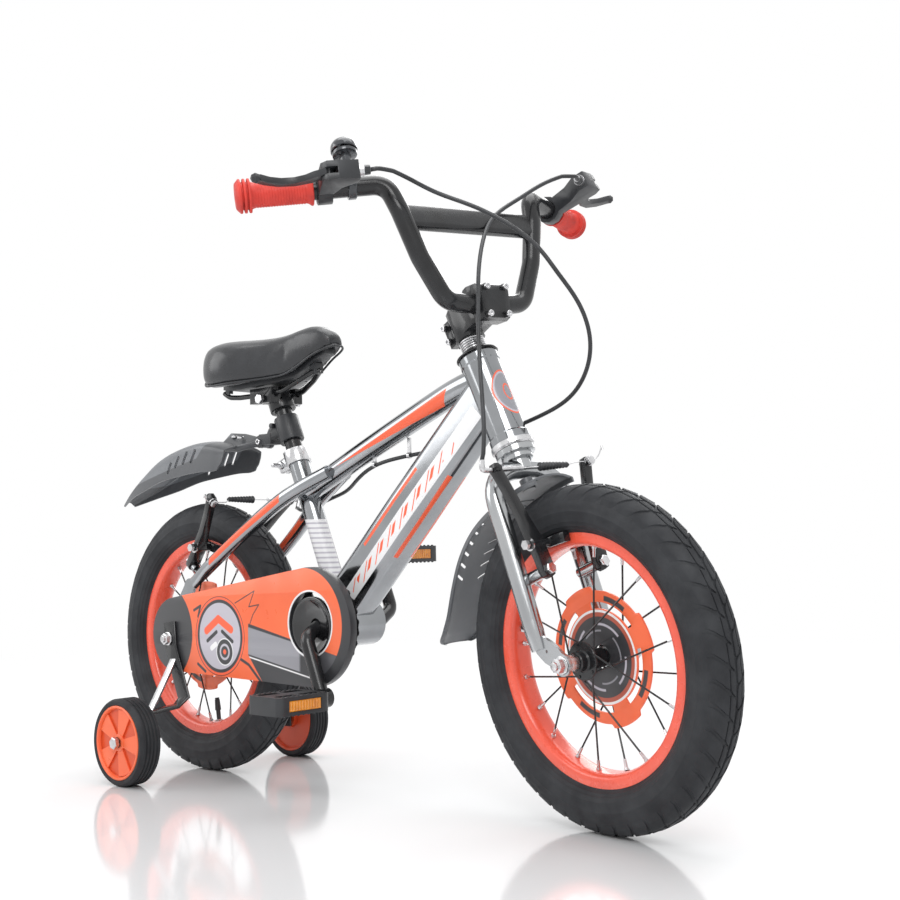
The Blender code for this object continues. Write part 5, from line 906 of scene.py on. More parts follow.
bar = {"radius": 0.0108, "gripStart": Vector((0.073, 0.106, 0.548)),
       "gripEnd": Vector((0.002, 0.2505, 0.571)), "gripFrom": 0.082}
half = [(0.044, 0, 0.413), (0.044, 0.03, 0.413), (0.0437, 0.057, 0.4155), (0.0569, 0.0825, 0.4639),
        (0.07, 0.098, 0.515), bar["gripStart"], bar["gripEnd"]]
half = roundedPath(half, 0.04, 10)
barPath = [Vector((p.x, -p.y, p.z)) for p in reversed(half[1:])] + half
barTube = sweep(barPath, circle(bar["radius"], 32), None, (1, 0, 0))
braceEnds = [(0.0676, side * 0.093, 0.509) for side in (-1, 1)]
brace = sweep(braceEnds, roundedSection(0.014, 0.029, 0.005, 6), None, (1, 0, 0))
dress("handlebar_tube", joined(barTube, brace), steerPlace, "blackEnamel", "handlebar", 35)


def handAxes(side, along, tiltAngle=0.0):
    start, end = bar["gripStart"].copy(), bar["gripEnd"].copy()
    start.y, end.y = start.y * side, end.y * side
    run = (end - start).normalized()
    up = (Vector((0, 0, 1)) - run * run.z).normalized()
    ahead = run.cross(up) * side
    if ahead.x < 0:
        ahead = -ahead
    return axesAt(start + run * along, ahead, run * side, up) @ Matrix.Rotation(-tiltAngle, 4, "Y")


def gripShape():
    length = (bar["gripEnd"] - bar["gripStart"]).length - bar["gripFrom"]
    profile = [(0.0112, 0.0), (0.016, 0.0), (0.0166, 0.001), (0.0162, 0.0022), (0.014, 0.0052)]
    at = 0.0075
    while at < length - 0.0185:
        profile += [(0.01335, at), (0.01335, at + 0.0009), (0.0138, at + 0.0014), (0.0138, at + 0.0023)]
        at += 0.003
    for i in range(3):
        place = length - 0.0135 + 0.005 * i
        profile += [(0.0148, place - 0.0006), (0.0182, place), (0.0186, place + 0.0008),
                    (0.0186, place + 0.0019), (0.018, place + 0.0027)]
        profile += [(0.015, place + 0.0033)] if i < 2 else []
    profile += [(0.014, length + 0.0028), (0.013, length + 0.0031), (0.0045, length + 0.0031),
                (0.004, length + 0.0016), (0.00004, length + 0.0016), (0.00004, length + 0.0006),
                (0.0112, length + 0.0006)]
    return revolve(profile, 56)


for side, label in ((-1, "right"), (1, "left")):
    grip = gripShape() if side > 0 else mirrored(gripShape())
    hand = steerPlace @ handAxes(side, bar["gripFrom"])
    dress(label + "_grip_rubber", grip, hand, "gripRubber", label + "_grip", 40)
    tiltAngle = math.radians(-18.0 if side < 0 else 0.0)
    polished(label + "_lever_bracket", "mouldedPlastic", 0.001)
    polished(label + "_brake_lever", "mouldedPlastic", 0.0012)
    hand = steerPlace @ handAxes(side, 0.0695, tiltAngle)
    collar = rod((0.058, -side * 0.0442, 0), (0.058, -side * 0.0385, 0), 0.0042, 24, 0.005)
    ridges = [(0.0372 - 0.0016 * i, 0.0364 - 0.0016 * i) for i in range(4)]
    knurl = joined(*[rod((0.058, -side * a, 0), (0.058, -side * b, 0), 0.0064, 20) for a, b in ridges])
    nut = rod((0.058, -side * 0.0372, 0), (0.058, -side * 0.031, 0), 0.006, 12)
    pin = placed(capBolt(0.0032, 0.0024), aimed((0.061, 0, 0.0079), (0, 0, 1)))
    clampBolt = placed(capBolt(0.003, 0.0026), aimed((-0.015, -side * 0.002, 0.0062), (0, 0, 1)))
    extra(label + "_adjuster", joined(collar, knurl, nut, pin, clampBolt), hand, "steering_set")


def bellShape():
    base, dome = 0.041, 0.0495
    cap = revolve([(0.00004, dome + 0.01), (0.009, dome + 0.008), (0.0134, dome + 0.002),
                   (0.0138, dome - 0.0013), (0.0143, dome - 0.0017), (0.0151, dome - 0.001),
                   (0.0151, dome + 0.003), (0.0143, dome + 0.006), (0.0122, dome + 0.0092),
                   (0.0095, dome + 0.011), (0.006, dome + 0.0124), (0.0025, dome + 0.013),
                   (0.00004, dome + 0.0131)], 64)
    foot = revolve([(0.00004, base), (0.011, base), (0.0137, base + 0.0012), (0.014, base + 0.0025),
                    (0.014, base + 0.0046), (0.0132, base + 0.0055), (0.00004, base + 0.0055)], 48)
    neck = revolve([(0.00004, 0.011), (0.0074, 0.011), (0.0066, 0.018), (0.006, 0.03), (0.0068, base),
                    (0.00004, base)], 32)
    band = revolve([(0.011, -0.0045), (0.0132, -0.0045), (0.0138, -0.0038), (0.0138, 0.0038),
                    (0.0132, 0.0045), (0.011, 0.0045)], 48)
    upper = [placed(part, upright) for part in (cap, foot, neck)]
    post = rod((0, 0, base + 0.004), (0, 0, dome + 0.0105), 0.0022, 16)
    lug = block((0.013, 0.007, 0.0024), (-0.016, 0, base - 0.0012))
    pin = rod((-0.0225, 0, base - 0.0006), (-0.0225, 0, base + 0.0058), 0.0017, 12)
    return joined(*upper, band, post, lug, pin)


bellPlace = steerPlace @ handAxes(-1, 0.039)
dress("bell_body", bellShape(), bellPlace, "bellCap", "bell", 35)
polished("bell_lever", "mouldedPlastic", 0.0006)
print("front end built")


# saddle and seat
saddleStations = [(0.052, 0.028, 0.569, 0.54), (0.0577, 0.051, 0.576, 0.526),
                  (0.0709, 0.065, 0.5795, 0.517), (0.0907, 0.0712, 0.581, 0.5145),
                  (0.1124, 0.0707, 0.58, 0.515), (0.1332, 0.0633, 0.5785, 0.5165),
                  (0.152, 0.052, 0.578, 0.518), (0.1727, 0.04, 0.579, 0.52),
                  (0.1944, 0.031, 0.5825, 0.523), (0.216, 0.0255, 0.5865, 0.533),
                  (0.2348, 0.0222, 0.587, 0.543), (0.2518, 0.019, 0.582, 0.55),
                  (0.2631, 0.013, 0.574, 0.554), (0.2678, 0.006, 0.566, 0.557)]
cushion = {"inset": 0.0012, "voxel": 0.0045, "pressure": 4.0, "stiffness": 25, "frames": 20,
           "limit": 0.006}


def evened(values, count):
    # Catmull-Rom through rows of numbers
    rows = [values[0]] + list(values) + [values[-1]]
    out = []
    for n in range(count + 1):
        at = min(len(values) - 1.0001, n * (len(values) - 1) / count)
        i, t = int(at), at - int(at)
        a, b, c, d = rows[i:i + 4]
        out.append([0.5 * (2 * q + (r - p) * t + (2 * p - 5 * q + 4 * r - s) * t * t
                           + (3 * q - p - 3 * r + s) * t ** 3) for p, q, r, s in zip(a, b, c, d)])
    return out


lowerSide = [(-0.7, 0.0), (-0.9, 0.045), (-0.985, 0.2), (-1.0, 0.38), (-0.975, 0.6), (-0.87, 0.82)]
saddleSide = evened(lowerSide + [(-0.62, 0.95), (-0.3, 0.995), (0.0, 1.0)], 20)


def saddleRing(x, half, top, low, tuck):
    height = top - low
    right = [(x, y * half, low + z * height) for y, z in saddleSide]
    left = [(x, -y, z) for _, y, z in reversed(right[:-1])]
    under = [(x, 0.5 * half, low + tuck), (x, 0.0, low + tuck), (x, -0.5 * half, low + tuck)]
    return right + left + under


saddleRows = evened(saddleStations, 52)
rings = []
for i, (x, half, top, low) in enumerate(saddleRows):
    inside = 1.0 if 0 < i < len(saddleRows) - 1 else 0.0
    rings.append(saddleRing(x, half, top, low, 0.009 * inside * min(1.0, half / 0.03)))
saddleMesh = placed(loft(rings), bikePlace)
seamHeights = [bikePlace @ Vector((x, 0, low + 0.2 * (top - low))) for x, half, top, low in saddleRows]


def seamLevel(x):
    return min(seamHeights, key=lambda p: abs(p.x - x)).z


def puffed(mesh):
    # the cover is blown out a little under air pressure, held along its lower edge
    start = worked(mesh.copy(), ("DISPLACE", dict(strength=-cushion["inset"], mid_level=0.0)),
                   ("REMESH", dict(mode="VOXEL", voxel_size=cushion["voxel"])))
    rest = [v.co.copy() for v in start.vertices]
    cover = sceneObject("cover", start)
    held = cover.vertex_groups.new(name="held")
    held.add([v.index for v in start.vertices if v.co.z < seamLevel(v.co.x)], 1.0, "REPLACE")
    settings = cover.modifiers.new("cloth", "CLOTH").settings
    settings.vertex_group_mass = "held"
    settings.use_pressure = True
    settings.uniform_pressure_force = cushion["pressure"]
    settings.tension_stiffness = settings.compression_stiffness = cushion["stiffness"]
    settings.effector_weights.gravity = 0
    for moment in range(1, cushion["frames"] + 1):
        bpy.context.scene.frame_set(moment)
    made = taken(cover)
    bpy.context.scene.frame_set(1)
    for vertex, was in zip(made.vertices, rest):
        step = vertex.co - was
        if step.length > cushion["limit"]:
            vertex.co = was + step.normalized() * cushion["limit"]
    return made


saddleCover = worked(puffed(saddleMesh), ("SUBSURF", dict(levels=1, render_levels=1)))
saddle = dress("saddle_cover", saddleCover, Matrix.Identity(4), "vinyl", "saddle", 180)


def seamLoop(level, out):
    # a line round the saddle's side at one share of its height
    rightSide, leftSide = [], []
    share = min(evened(lowerSide, 60), key=lambda q: abs(q[1] - level))[0]
    for x, half, top, low in saddleRows[1:-1]:
        z = low + level * (top - low)
        rightSide.append((x, share * half - out, z))
        leftSide.append((x, -share * half + out, z))
    return rightSide + list(reversed(leftSide))


welt = sweep(seamLoop(0.045, 0.0004), circle(0.0015, 10), None, (0, 0, 1), True)
extra("saddle_welt", welt, bikePlace, "seat_set", 60, "mouldedPlastic")
railHalf = [(0.069, 0.0262, 0.512), (0.079, 0.0255, 0.5055), (0.098, 0.0225, 0.504),
            (0.15, 0.0205, 0.504), (0.18, 0.0165, 0.507), (0.208, 0.011, 0.519), (0.224, 0.006, 0.527)]
railLeft = roundedPath(railHalf, 0.03, 6)
railRight = [Vector((p.x, -p.y, p.z)) for p in reversed(railLeft)]
rails = sweep(railLeft + [Vector((0.229, 0.0, 0.5292))] + railRight, circle(0.0034, 16), None, (0, 0, 1))
dress("saddle_rail_rod", rails, bikePlace, "blackEnamel", "saddle_rails", 60)
for node, finish, ease in (("saddle_base", "mouldedPlastic", 0.0008),
                           ("saddle_clamp", "blackEnamel", 0.001),
                           ("mudguard_clamp", "mouldedPlastic", 0.001),
                           ("seat_clamp", "brightSteel", 0.0006)):
    polished(node, finish, ease)
post = rod(onSeatTube(0.32), onSeatTube(0.505), 0.0111, 48)
dress("seatpost_tube", post, bikePlace, "blackEnamel", "seatpost")
hinge = toBike @ jointAt("rear_mudguard_tilt")
railSpot = Vector((0.15, 0, 0.4975))
for name, shape, at, out in (("saddle_clamp_nuts", hexBolt(0.012, 0.0052), railSpot, 0.0303),
                             ("mudguard_hinge_bolts", capBolt(0.004, 0.003), hinge, 0.0105)):
    pair = [placed(shape, aimed(at + Vector((0, side * out, 0)), (0, side, 0))) for side in (-1, 1)]
    extra(name, joined(*pair), bikePlace, "seat_set")
print("seat built")


# mudguards
def archRing(centre, out, width, rise, drop, sheetThick):
    out, centre, half = Vector(out).normalized(), Vector(centre), width / 2
    top = evened([(-1.0, -drop), (-0.985, -0.35 * drop), (-0.93, 0.0), (-0.5, rise * 0.8), (0.0, rise),
                  (0.5, rise * 0.8), (0.93, 0.0), (0.985, -0.35 * drop), (1.0, -drop)], 32)
    upper = [centre + Vector((0, y * half, 0)) + out * z for y, z in top]
    shrink = (half - sheetThick) / half
    lower = []
    for y, z in reversed(top):
        thick = sheetThick if abs(y) < 0.9 else 0.0004
        lower.append(centre + Vector((0, y * half * shrink, 0)) + out * (z - thick))
    lower[0] = centre + Vector((0, half * shrink, 0)) - out * drop
    lower[-1] = centre + Vector((0, -half * shrink, 0)) - out * drop
    return upper + lower


def mudguardSheet(rows, thick):
    return loft([archRing((x, 0, z), (ox, 0, oz), width, rise, drop, thick)
                 for x, z, ox, oz, width, rise, drop in rows])


def slotOutline(half, radius):
    return arcPoints((half, 0), radius, -90, 90, 8) + arcPoints((-half, 0), radius, 90, 270, 8)


def louvreCut(centre, out, along, length, gap, lean, side):
    # slanted slot through the sheet on one side of its crown
    out, along = Vector(out).normalized(), Vector(along).normalized()
    slant = (Vector((0, side, 0)) * math.cos(lean) + along * math.sin(lean)).normalized()
    outline = slotOutline((length - gap) / 2, gap / 2)
    return placed(plate(outline, -0.02, 0.02), axesAt(Vector(centre), slant, out, slant.cross(out)))


frontStations = [(79.0, 0.0135, 0.058), (88.0, 0.0145, 0.06), (97.0, 0.016, 0.061), (106.0, 0.021, 0.062),
                 (115.0, 0.026, 0.062), (125.0, 0.029, 0.062), (135.0, 0.03, 0.062),
                 (144.0, 0.032, 0.064), (150.0, 0.041, 0.062), (152.6, 0.048, 0.059),
                 (154.0, 0.0525, 0.051), (154.5, 0.054, 0.04)]
frontRows = []
for angle, over, width in evened(frontStations, 64):
    ox, oz = math.cos(math.radians(angle)), math.sin(math.radians(angle))
    radius = wheel["radius"] + over
    frontRows.append((0.0036 + radius * ox, radius * oz, ox, oz, width, 0.005, 0.006))
frontSheet = mudguardSheet(frontRows, 0.0022)
slots = []
for k in range(9):
    angle = math.radians(99 + 4.2 * k)
    over = 0.0185 + 0.0013 * k
    radius, ox, oz = wheel["radius"] + over, math.cos(angle), math.sin(angle)
    for side in (-1, 1):
        centre = (0.0036 + radius * ox, side * 0.0175, radius * oz)
        slots.append(louvreCut(centre, (ox, 0, oz), (oz, 0, -ox), 0.017, 0.003, math.radians(36), side))
frontLug = rod((0, 0, 0.1985), (0, 0, 0.2118), 0.0075, 28)
dress("front_mudguard_sheet", joined(trimmed(frontSheet, joined(*slots)), frontLug), steerPlace,
      "mudguardPlastic", "front_mudguard", 38)

rearStations = [(0.074, 0.4395, 0.066, 0.01), (0.0715, 0.4402, 0.0665, 0.021),
                (0.065, 0.442, 0.0675, 0.03), (0.048, 0.4455, 0.071, 0.035), (0.015, 0.449, 0.074, 0.038),
                (-0.03, 0.443, 0.074, 0.036), (-0.075, 0.431, 0.07, 0.03), (-0.12, 0.41, 0.062, 0.02),
                (-0.16, 0.391, 0.046, 0.01), (-0.198, 0.3735, 0.02, 0.003)]
smoothRows = evened(rearStations, 60)
rearRows = []
for i, (x, z, width, drop) in enumerate(smoothRows):
    before, after = smoothRows[max(i - 1, 0)], smoothRows[min(i + 1, len(smoothRows) - 1)]
    run = Vector((before[0] - after[0], 0, before[1] - after[1])).normalized()
    rearRows.append((x, z - 0.004, -run.z, run.x, width, 0.006, drop))
rearSheet = mudguardSheet(rearRows, 0.0022)
slots = []
for k in range(4):
    slant, across = math.radians(58), Vector((0, 1, 0))
    lean = Vector((math.cos(slant), 0, math.sin(slant)))
    spot = Vector((0.01 - 0.0185 * k, 0, 0.43 - 0.0015 * k * k))
    for low, high in ((-0.05, -0.024), (0.024, 0.05)):
        slot = plate(slotOutline(0.0085 - 0.0006 * k, 0.0026), low, high)
        slots.append(placed(slot, axesAt(spot, lean, across, lean.cross(across))))
armPath = roundedPath([(hinge.x - 0.002, 0, hinge.z), (0.1085, 0, 0.4445), (0.097, 0, 0.4455),
                       (0.07, 0, 0.446), (0.04, 0, 0.449)], 0.03, 5)
armScales = [(0.26 + 0.74 * min(1.0, max(0.0, (0.112 - p.x) / 0.04)), 0.9) for p in armPath]
arm = sweep(armPath, roundedSection(0.03, 0.011, 0.0035, 5), armScales)
eye = rod((hinge.x, -0.0039, hinge.z), (hinge.x, 0.0039, hinge.z), 0.008, 32)
dress("rear_mudguard_sheet", joined(trimmed(rearSheet, joined(*slots)), arm, eye), bikePlace,
      "mudguardLitAndShaded", "rear_mudguard", 38)
armScrews = [placed(capBolt(0.0045, 0.0028), aimed(at, (0.06, 0, 1)))
             for at in ((0.078, 0.0075, 0.4512), (0.078, -0.0075, 0.4512), (0.056, 0, 0.454))]
extra("mudguard_arm_screws", joined(*armScrews), bikePlace, "rear_mudguard_set")
print("mudguards built")


# drive
guard = {"face": 0.067, "back": 0.0568, "wall": 0.0022, "front": (0.283, 0.207), "rear": (0.008, 0.189),
         "big": 0.072, "small": 0.049, "window": (0.283, 0.2107), "windowRadius": 0.0387}


def guardOutline(inset):
    front, rear = guard["front"], guard["rear"]
    big, small = guard["big"] - inset, guard["small"] - inset
    run = (front[0] - rear[0], front[1] - rear[1])
    slope = math.degrees(math.atan2(run[1], run[0]))
    opened = math.degrees(math.acos((big - small) / math.hypot(*run)))
    before, after = slope - (180 - opened), slope + (180 - opened)
    bigArc = arcPoints(front, big, before, after, 48)
    return bigArc + arcPoints(rear, small, after, slope + (180 + opened), 24)


windowRing = hole(guard["window"], guard["windowRadius"], 72)
guardShell = plate(guardOutline(0.0), -guard["face"], -guard["back"],
                   [windowRing, hole((0, wheel["radius"]), 0.0052)])
wide = hole(guard["window"], guard["windowRadius"] + guard["wall"], 72)
pocket = plate(guardOutline(guard["wall"]), -guard["face"] + guard["wall"], -guard["back"] + 0.01, [wide])
dress("guard_shell", trimmed(guardShell, pocket), bikePlace, "guardPattern", "chain_guard", 35, 0.0007)

crankArm = jointAt("right_pedal_spin") - jointAt("crank_spin")
crankArm.y = 0
crankArm = crankArm.normalized()
crankPlace = Matrix.Translation(jointAt("crank_spin"))
crank = {"length": 0.089, "plane": 0.077, "rod": 0.0085, "pedal": 0.129, "half": 0.0385}
out = Vector((0, crank["plane"], 0))
rightEnd, leftEnd = crankArm * crank["length"] - out, out - crankArm * crank["length"]
crankPath = roundedPath([rightEnd + crankArm * 0.004, crankArm * 0.014 - out, (0, -0.052, 0), (0, 0.052, 0),
                         out - crankArm * 0.014, leftEnd - crankArm * 0.004], 0.016, 8)
crankParts = [sweep(crankPath, circle(crank["rod"], 32), None, crankArm.cross(Vector((0, 1, 0))))]
spindle = crank["pedal"] - crank["plane"] + crank["half"] - 0.0062
for end, sign in ((rightEnd, -1), (leftEnd, 1)):
    away = Vector((0, sign, 0))
    crankParts.append(rod(end - away * 0.0078, end + away * 0.0078, 0.0115, 36))
    crankParts.append(rod(end, end + away * spindle, 0.0049, 24))
crankParts.append(rod((0, -0.0481, 0), (0, -0.052, 0), 0.013, 36))
dress("crank_arms", joined(*crankParts), crankPlace, "blackEnamel", "crank", 38)
for side, end, sign in (("right", rightEnd, -1), ("left", leftEnd, 1)):
    flats = placed(hexBolt(0.015, 0.0026), aimed(end + Vector((0, sign * 0.0079, 0)), (0, sign, 0)))
    extra(side + "_spindle_flats", flats, crankPlace, "crank_set")


def toothedOutline(teeth, pitchCircle):
    outline = []
    for i in range(teeth * 8):
        turn = 2 * math.pi * i / (teeth * 8)
        radius = pitchCircle - 0.0032 + 0.0052 * (0.5 + 0.5 * math.cos(teeth * turn)) ** 0.8
        outline.append((radius * math.cos(turn), radius * math.sin(turn)))
    return outline


chain = {"pitch": 0.0127, "plane": -0.046, "ringTeeth": 28, "sprocketTeeth": 16}
pitch = {kind: chain["pitch"] / (2 * math.sin(math.pi / chain[kind + "Teeth"]))
         for kind in ("ring", "sprocket")}
windows = [sectorOutline(90 + 72 * i, (0.043, 27, 12), (0.02, 20, 5)) for i in range(5)]
chainring = plate(toothedOutline(chain["ringTeeth"], pitch["ring"]), -0.0474, -0.0446,
                  [hole((0, 0), 0.0089)] + windows)
dress("chainring_plate", chainring, crankPlace, "blackEnamel", "chainring", 32)
coverProfile = [(0.009, -0.0545), (0.03, -0.057), (0.0345, -0.059), (0.0356, -0.06), (0.0356, -0.0642),
                (0.035, -0.065), (0.033, -0.0652), (0.031, -0.064), (0.028, -0.0612), (0.02, -0.0588),
                (0.009, -0.0575)]
cover = revolve(coverProfile, 64)
extra("chainring_cover", cover, crankPlace, "crank_set", 50, "glossBlack")
sprocketSleeve = revolve([(0.0133, -0.0484), (0.0165, -0.0484), (0.0165, -0.0334), (0.0133, -0.0334)], 48)
sprocket = plate(toothedOutline(chain["sprocketTeeth"], pitch["sprocket"]), -0.0474, -0.0446,
                 [hole((0, 0), 0.0135, 36)])
sprocket = joined(sprocket, sprocketSleeve)
dress("sprocket_plate", sprocket, rearPlace, "brightSteel", "rear_sprocket", 32)


def chainLine():
    axle = Vector((0, 0, wheel["radius"]))
    run = bracket - axle
    distance, slope = math.hypot(run.x, run.z), math.atan2(run.z, run.x)
    wrap = math.pi - math.acos((pitch["ring"] - pitch["sprocket"]) / distance)
    points = []
    last = slope + 2 * math.pi - wrap
    for centre, radius, start, end in ((bracket, pitch["ring"], slope - wrap, slope + wrap),
                                       (axle, pitch["sprocket"], slope + wrap, last)):
        for i in range(49):
            angle = start + (end - start) * i / 48
            points.append(centre + Vector((math.cos(angle), 0, math.sin(angle))) * radius)
    return [Vector((p.x, chain["plane"], p.z)) for p in points]


def sidePlate(offset, thick):
    # figure-of-eight plate, one pitch long
    half = chain["pitch"] / 2
    outline = arcPoints((half, 0), 0.0041, -125, 125, 10) + [(0, 0.0027)]
    outline += arcPoints((-half, 0), 0.0041, 55, 305, 10) + [(0, -0.0027)]
    return plate(outline, offset - thick / 2, offset + thick / 2)


def chainPath():
    points = chainLine()
    links = round(sum((b - a).length for a, b in zip(points, points[1:] + points[:1])) / chain["pitch"])
    links += links % 2
    bm = bmesh.new()
    corners = [bm.verts.new(p) for p in points]
    for a, b in zip(corners, corners[1:] + corners[:1]):
        bm.edges.new((a, b))
    mesh = bpy.data.meshes.new("chain line")
    bm.to_mesh(mesh)
    bm.free()
    return mesh, links


chainMesh, linkCount = chainPath()
linkEnds = (-chain["pitch"] / 2, chain["pitch"] / 2)
pins = [rod((x, -0.0038, 0), (x, 0.0038, 0), 0.0018, 8) for x in linkEnds]
rollers = [rod((x, -0.0017, 0), (x, 0.0017, 0), 0.0034, 10) for x in linkEnds]
outerLink = joined(sidePlate(0.0032, 0.0009), sidePlate(-0.0032, 0.0009), *pins)
innerLink = joined(sidePlate(0.0021, 0.0009), sidePlate(-0.0021, 0.0009), *rollers)
outerPart, innerPart = sceneObject("outer link", outerLink), sceneObject("inner link", innerLink)
chainShape = runTree("path", chainMesh, {"Part": outerPart, "Other": innerPart, "Count": linkCount,
                                         "Finish": finishes["blackChain"]})
for spare in (outerPart, innerPart):
    bpy.data.objects.remove(spare)
dress("chain_links", chainShape, bikePlace, "blackChain", "chain", 35)


def pedalShape():
    length, width, height = 0.029, 0.0385, 0.0105
    outline = roundedSection(2 * length, 2 * width, 0.008, 6)
    bay = roundedSection(0.0124, 0.028, 0.002, 3)
    bays = [[(sx * 0.0155 + x, sy * 0.0175 + y) for x, y in bay] for sx in (-1, 1) for sy in (-1, 1)]
    body = placed(plate(outline, -height, height, bays), upright)
    pockets = [block((0.004, 0.048, 0.013), (sx * length, 0, 0)) for sx in (-1, 1)]
    socket = rod((0, -width - 0.01, 0), (0, width - 0.004, 0), 0.0058, 24)
    studs = []
    for face in (-1, 1):
        for sx in (-1, 1):
            for k in range(9):
                y = -0.03 + 0.0075 * k
                ends = [(sx * 0.0252, y, face * (height + lift)) for lift in (-0.001, 0.0012)]
                studs.append(sweep(ends, circle(0.0021, 8), [1.0, 0.6]))
    cage = trimmed(body, *pockets, socket)
    return joined(cage, *studs)


def reflectorShape(side):
    parts = [block((0.0014, 0.047, 0.012), (side * 0.0277, 0, 0))]
    for k in range(11):
        y = -0.021 + 0.0042 * k
        parts.append(sweep([(side * 0.0282, y, -0.0052), (side * 0.0282, y, 0.0052)], circle(0.001, 6)))
    return joined(*parts)


for side, sign in (("right", -1), ("left", 1)):
    at = Matrix.Translation(jointAt(side + "_pedal_spin"))
    at.translation.y = sign * crank["pedal"] + rearAxle.y
    shape = pedalShape() if sign > 0 else mirrored(pedalShape())
    dress(side + "_pedal_block", shape, at, "mouldedPlastic", side + "_pedal", 35)
    extra(side + "_pedal_reflectors", joined(reflectorShape(1), reflectorShape(-1)), at,
          side + "_pedal_set", 35, "amber")
for node, ease in (("bottom_bracket_bearing", 0.0004), ("lower_headset_cup", 0.0),
                   ("upper_headset_cup", 0.0), ("front_axle", 0.0003), ("rear_axle", 0.0003)):
    polished(node, "brightSteel", ease, 34)
print("drive built, links:", linkCount)


# training wheels
stab = {"half": 0.0155, "middle": (0.01, 0.1437, 0.056)}


def stabiliserTyre():
    half = stab["half"]
    profile = [(0.0478, half - 0.0012), (0.05, half), (0.053, half - 0.0003), (0.0553, half - 0.003)]
    for k in range(5):
        y = half - 0.0058 - 0.0052 * k
        profile += [(0.056, y + 0.0012), (0.056, y - 0.0012), (0.0544, y - 0.0019), (0.0544, y - 0.0033)]
    profile += [(0.0553, -half + 0.003), (0.053, -half + 0.0003), (0.05, -half), (0.0478, -half + 0.0012)]
    return revolve(profile, 72)


def stabiliserWheel():
    half = stab["half"]
    profile = [(0.0052, -half), (0.014, -half), (0.015, -half + 0.005), (0.043, -half + 0.005),
               (0.0446, -half + 0.0008), (0.0474, -half + 0.0008), (0.0474, half - 0.0008),
               (0.0462, half), (0.0446, half - 0.0002), (0.0434, half - 0.002), (0.043, half - 0.0058),
               (0.0052, half - 0.0058)]
    hubCap = revolve([(0.0052, half - 0.007), (0.0118, half - 0.007), (0.011, half - 0.003),
                      (0.0085, half - 0.0022), (0.0052, half - 0.0022)], 48)
    sectors = [plate(sectorOutline(72 * k, (0.0424, 18, 12), (0.0112, 28, 6)), half - 0.007, half - 0.0034)
               for k in range(5)]
    return joined(revolve(profile, 72), hubCap, *sectors)


for side, sign in (("right", -1), ("left", 1)):
    middle = Vector((stab["middle"][0], sign * stab["middle"][1], stab["middle"][2]))
    at = bikePlace @ Matrix.Translation(middle)
    disc, tyre = [shape if sign > 0 else mirrored(shape) for shape in (stabiliserWheel(), stabiliserTyre())]
    dress(side + "_training_wheel", disc, at, "trainingOrange", side + "_stabiliser_wheel", 32)
    extra(side + "_training_tyre", tyre, at, side + "_stabiliser_set", 40, "tyreRubber")
    polished(side + "_stabiliser_bracket", "blackEnamel", 0.0006)
    cap = placed(hexBolt(0.014, 0.0055), aimed(middle + Vector((0, sign * 0.0162, 0)), (0, sign, 0)))
    strut = [(0.01, sign * 0.0703, 0.1555), (0.011, sign * 0.0793, 0.14), (0.012, sign * 0.111, 0.088)]
    strut = sweep(strut, roundedSection(0.0118, 0.0038, 0.001, 3), None, (1, 0, 0))
    extra(side + "_training_strut", strut, bikePlace, "frame")
    extra(side + "_training_nut", cap, bikePlace, "frame")
print("training wheels built")


# brakes and their cables
def armPlace(label):
    if label.startswith("front"):
        lean = math.radians(fork["lean"])
        x, z = Vector((math.cos(lean), 0, -math.sin(lean))), Vector((math.sin(lean), 0, math.cos(lean)))
        turned = steerPlace.to_3x3()
        x, z = turned @ x, turned @ z
    else:
        turn = math.radians(rearArmTurn)
        x, z = Vector((math.sin(turn), 0, -math.cos(turn))), Vector((math.cos(turn), 0, math.sin(turn)))
    return axesAt(jointAt(label + "_arm_swing"), x, z.cross(x), z)


brake = {"top": 0.115, "tip": 0.027, "wire": 0.0007}


def reach(sign, far, x=0.0):
    # a point at the arms' top, far in from the tip of the arm on the side of sign
    return x, sign * (brake["tip"] - far), brake["top"]


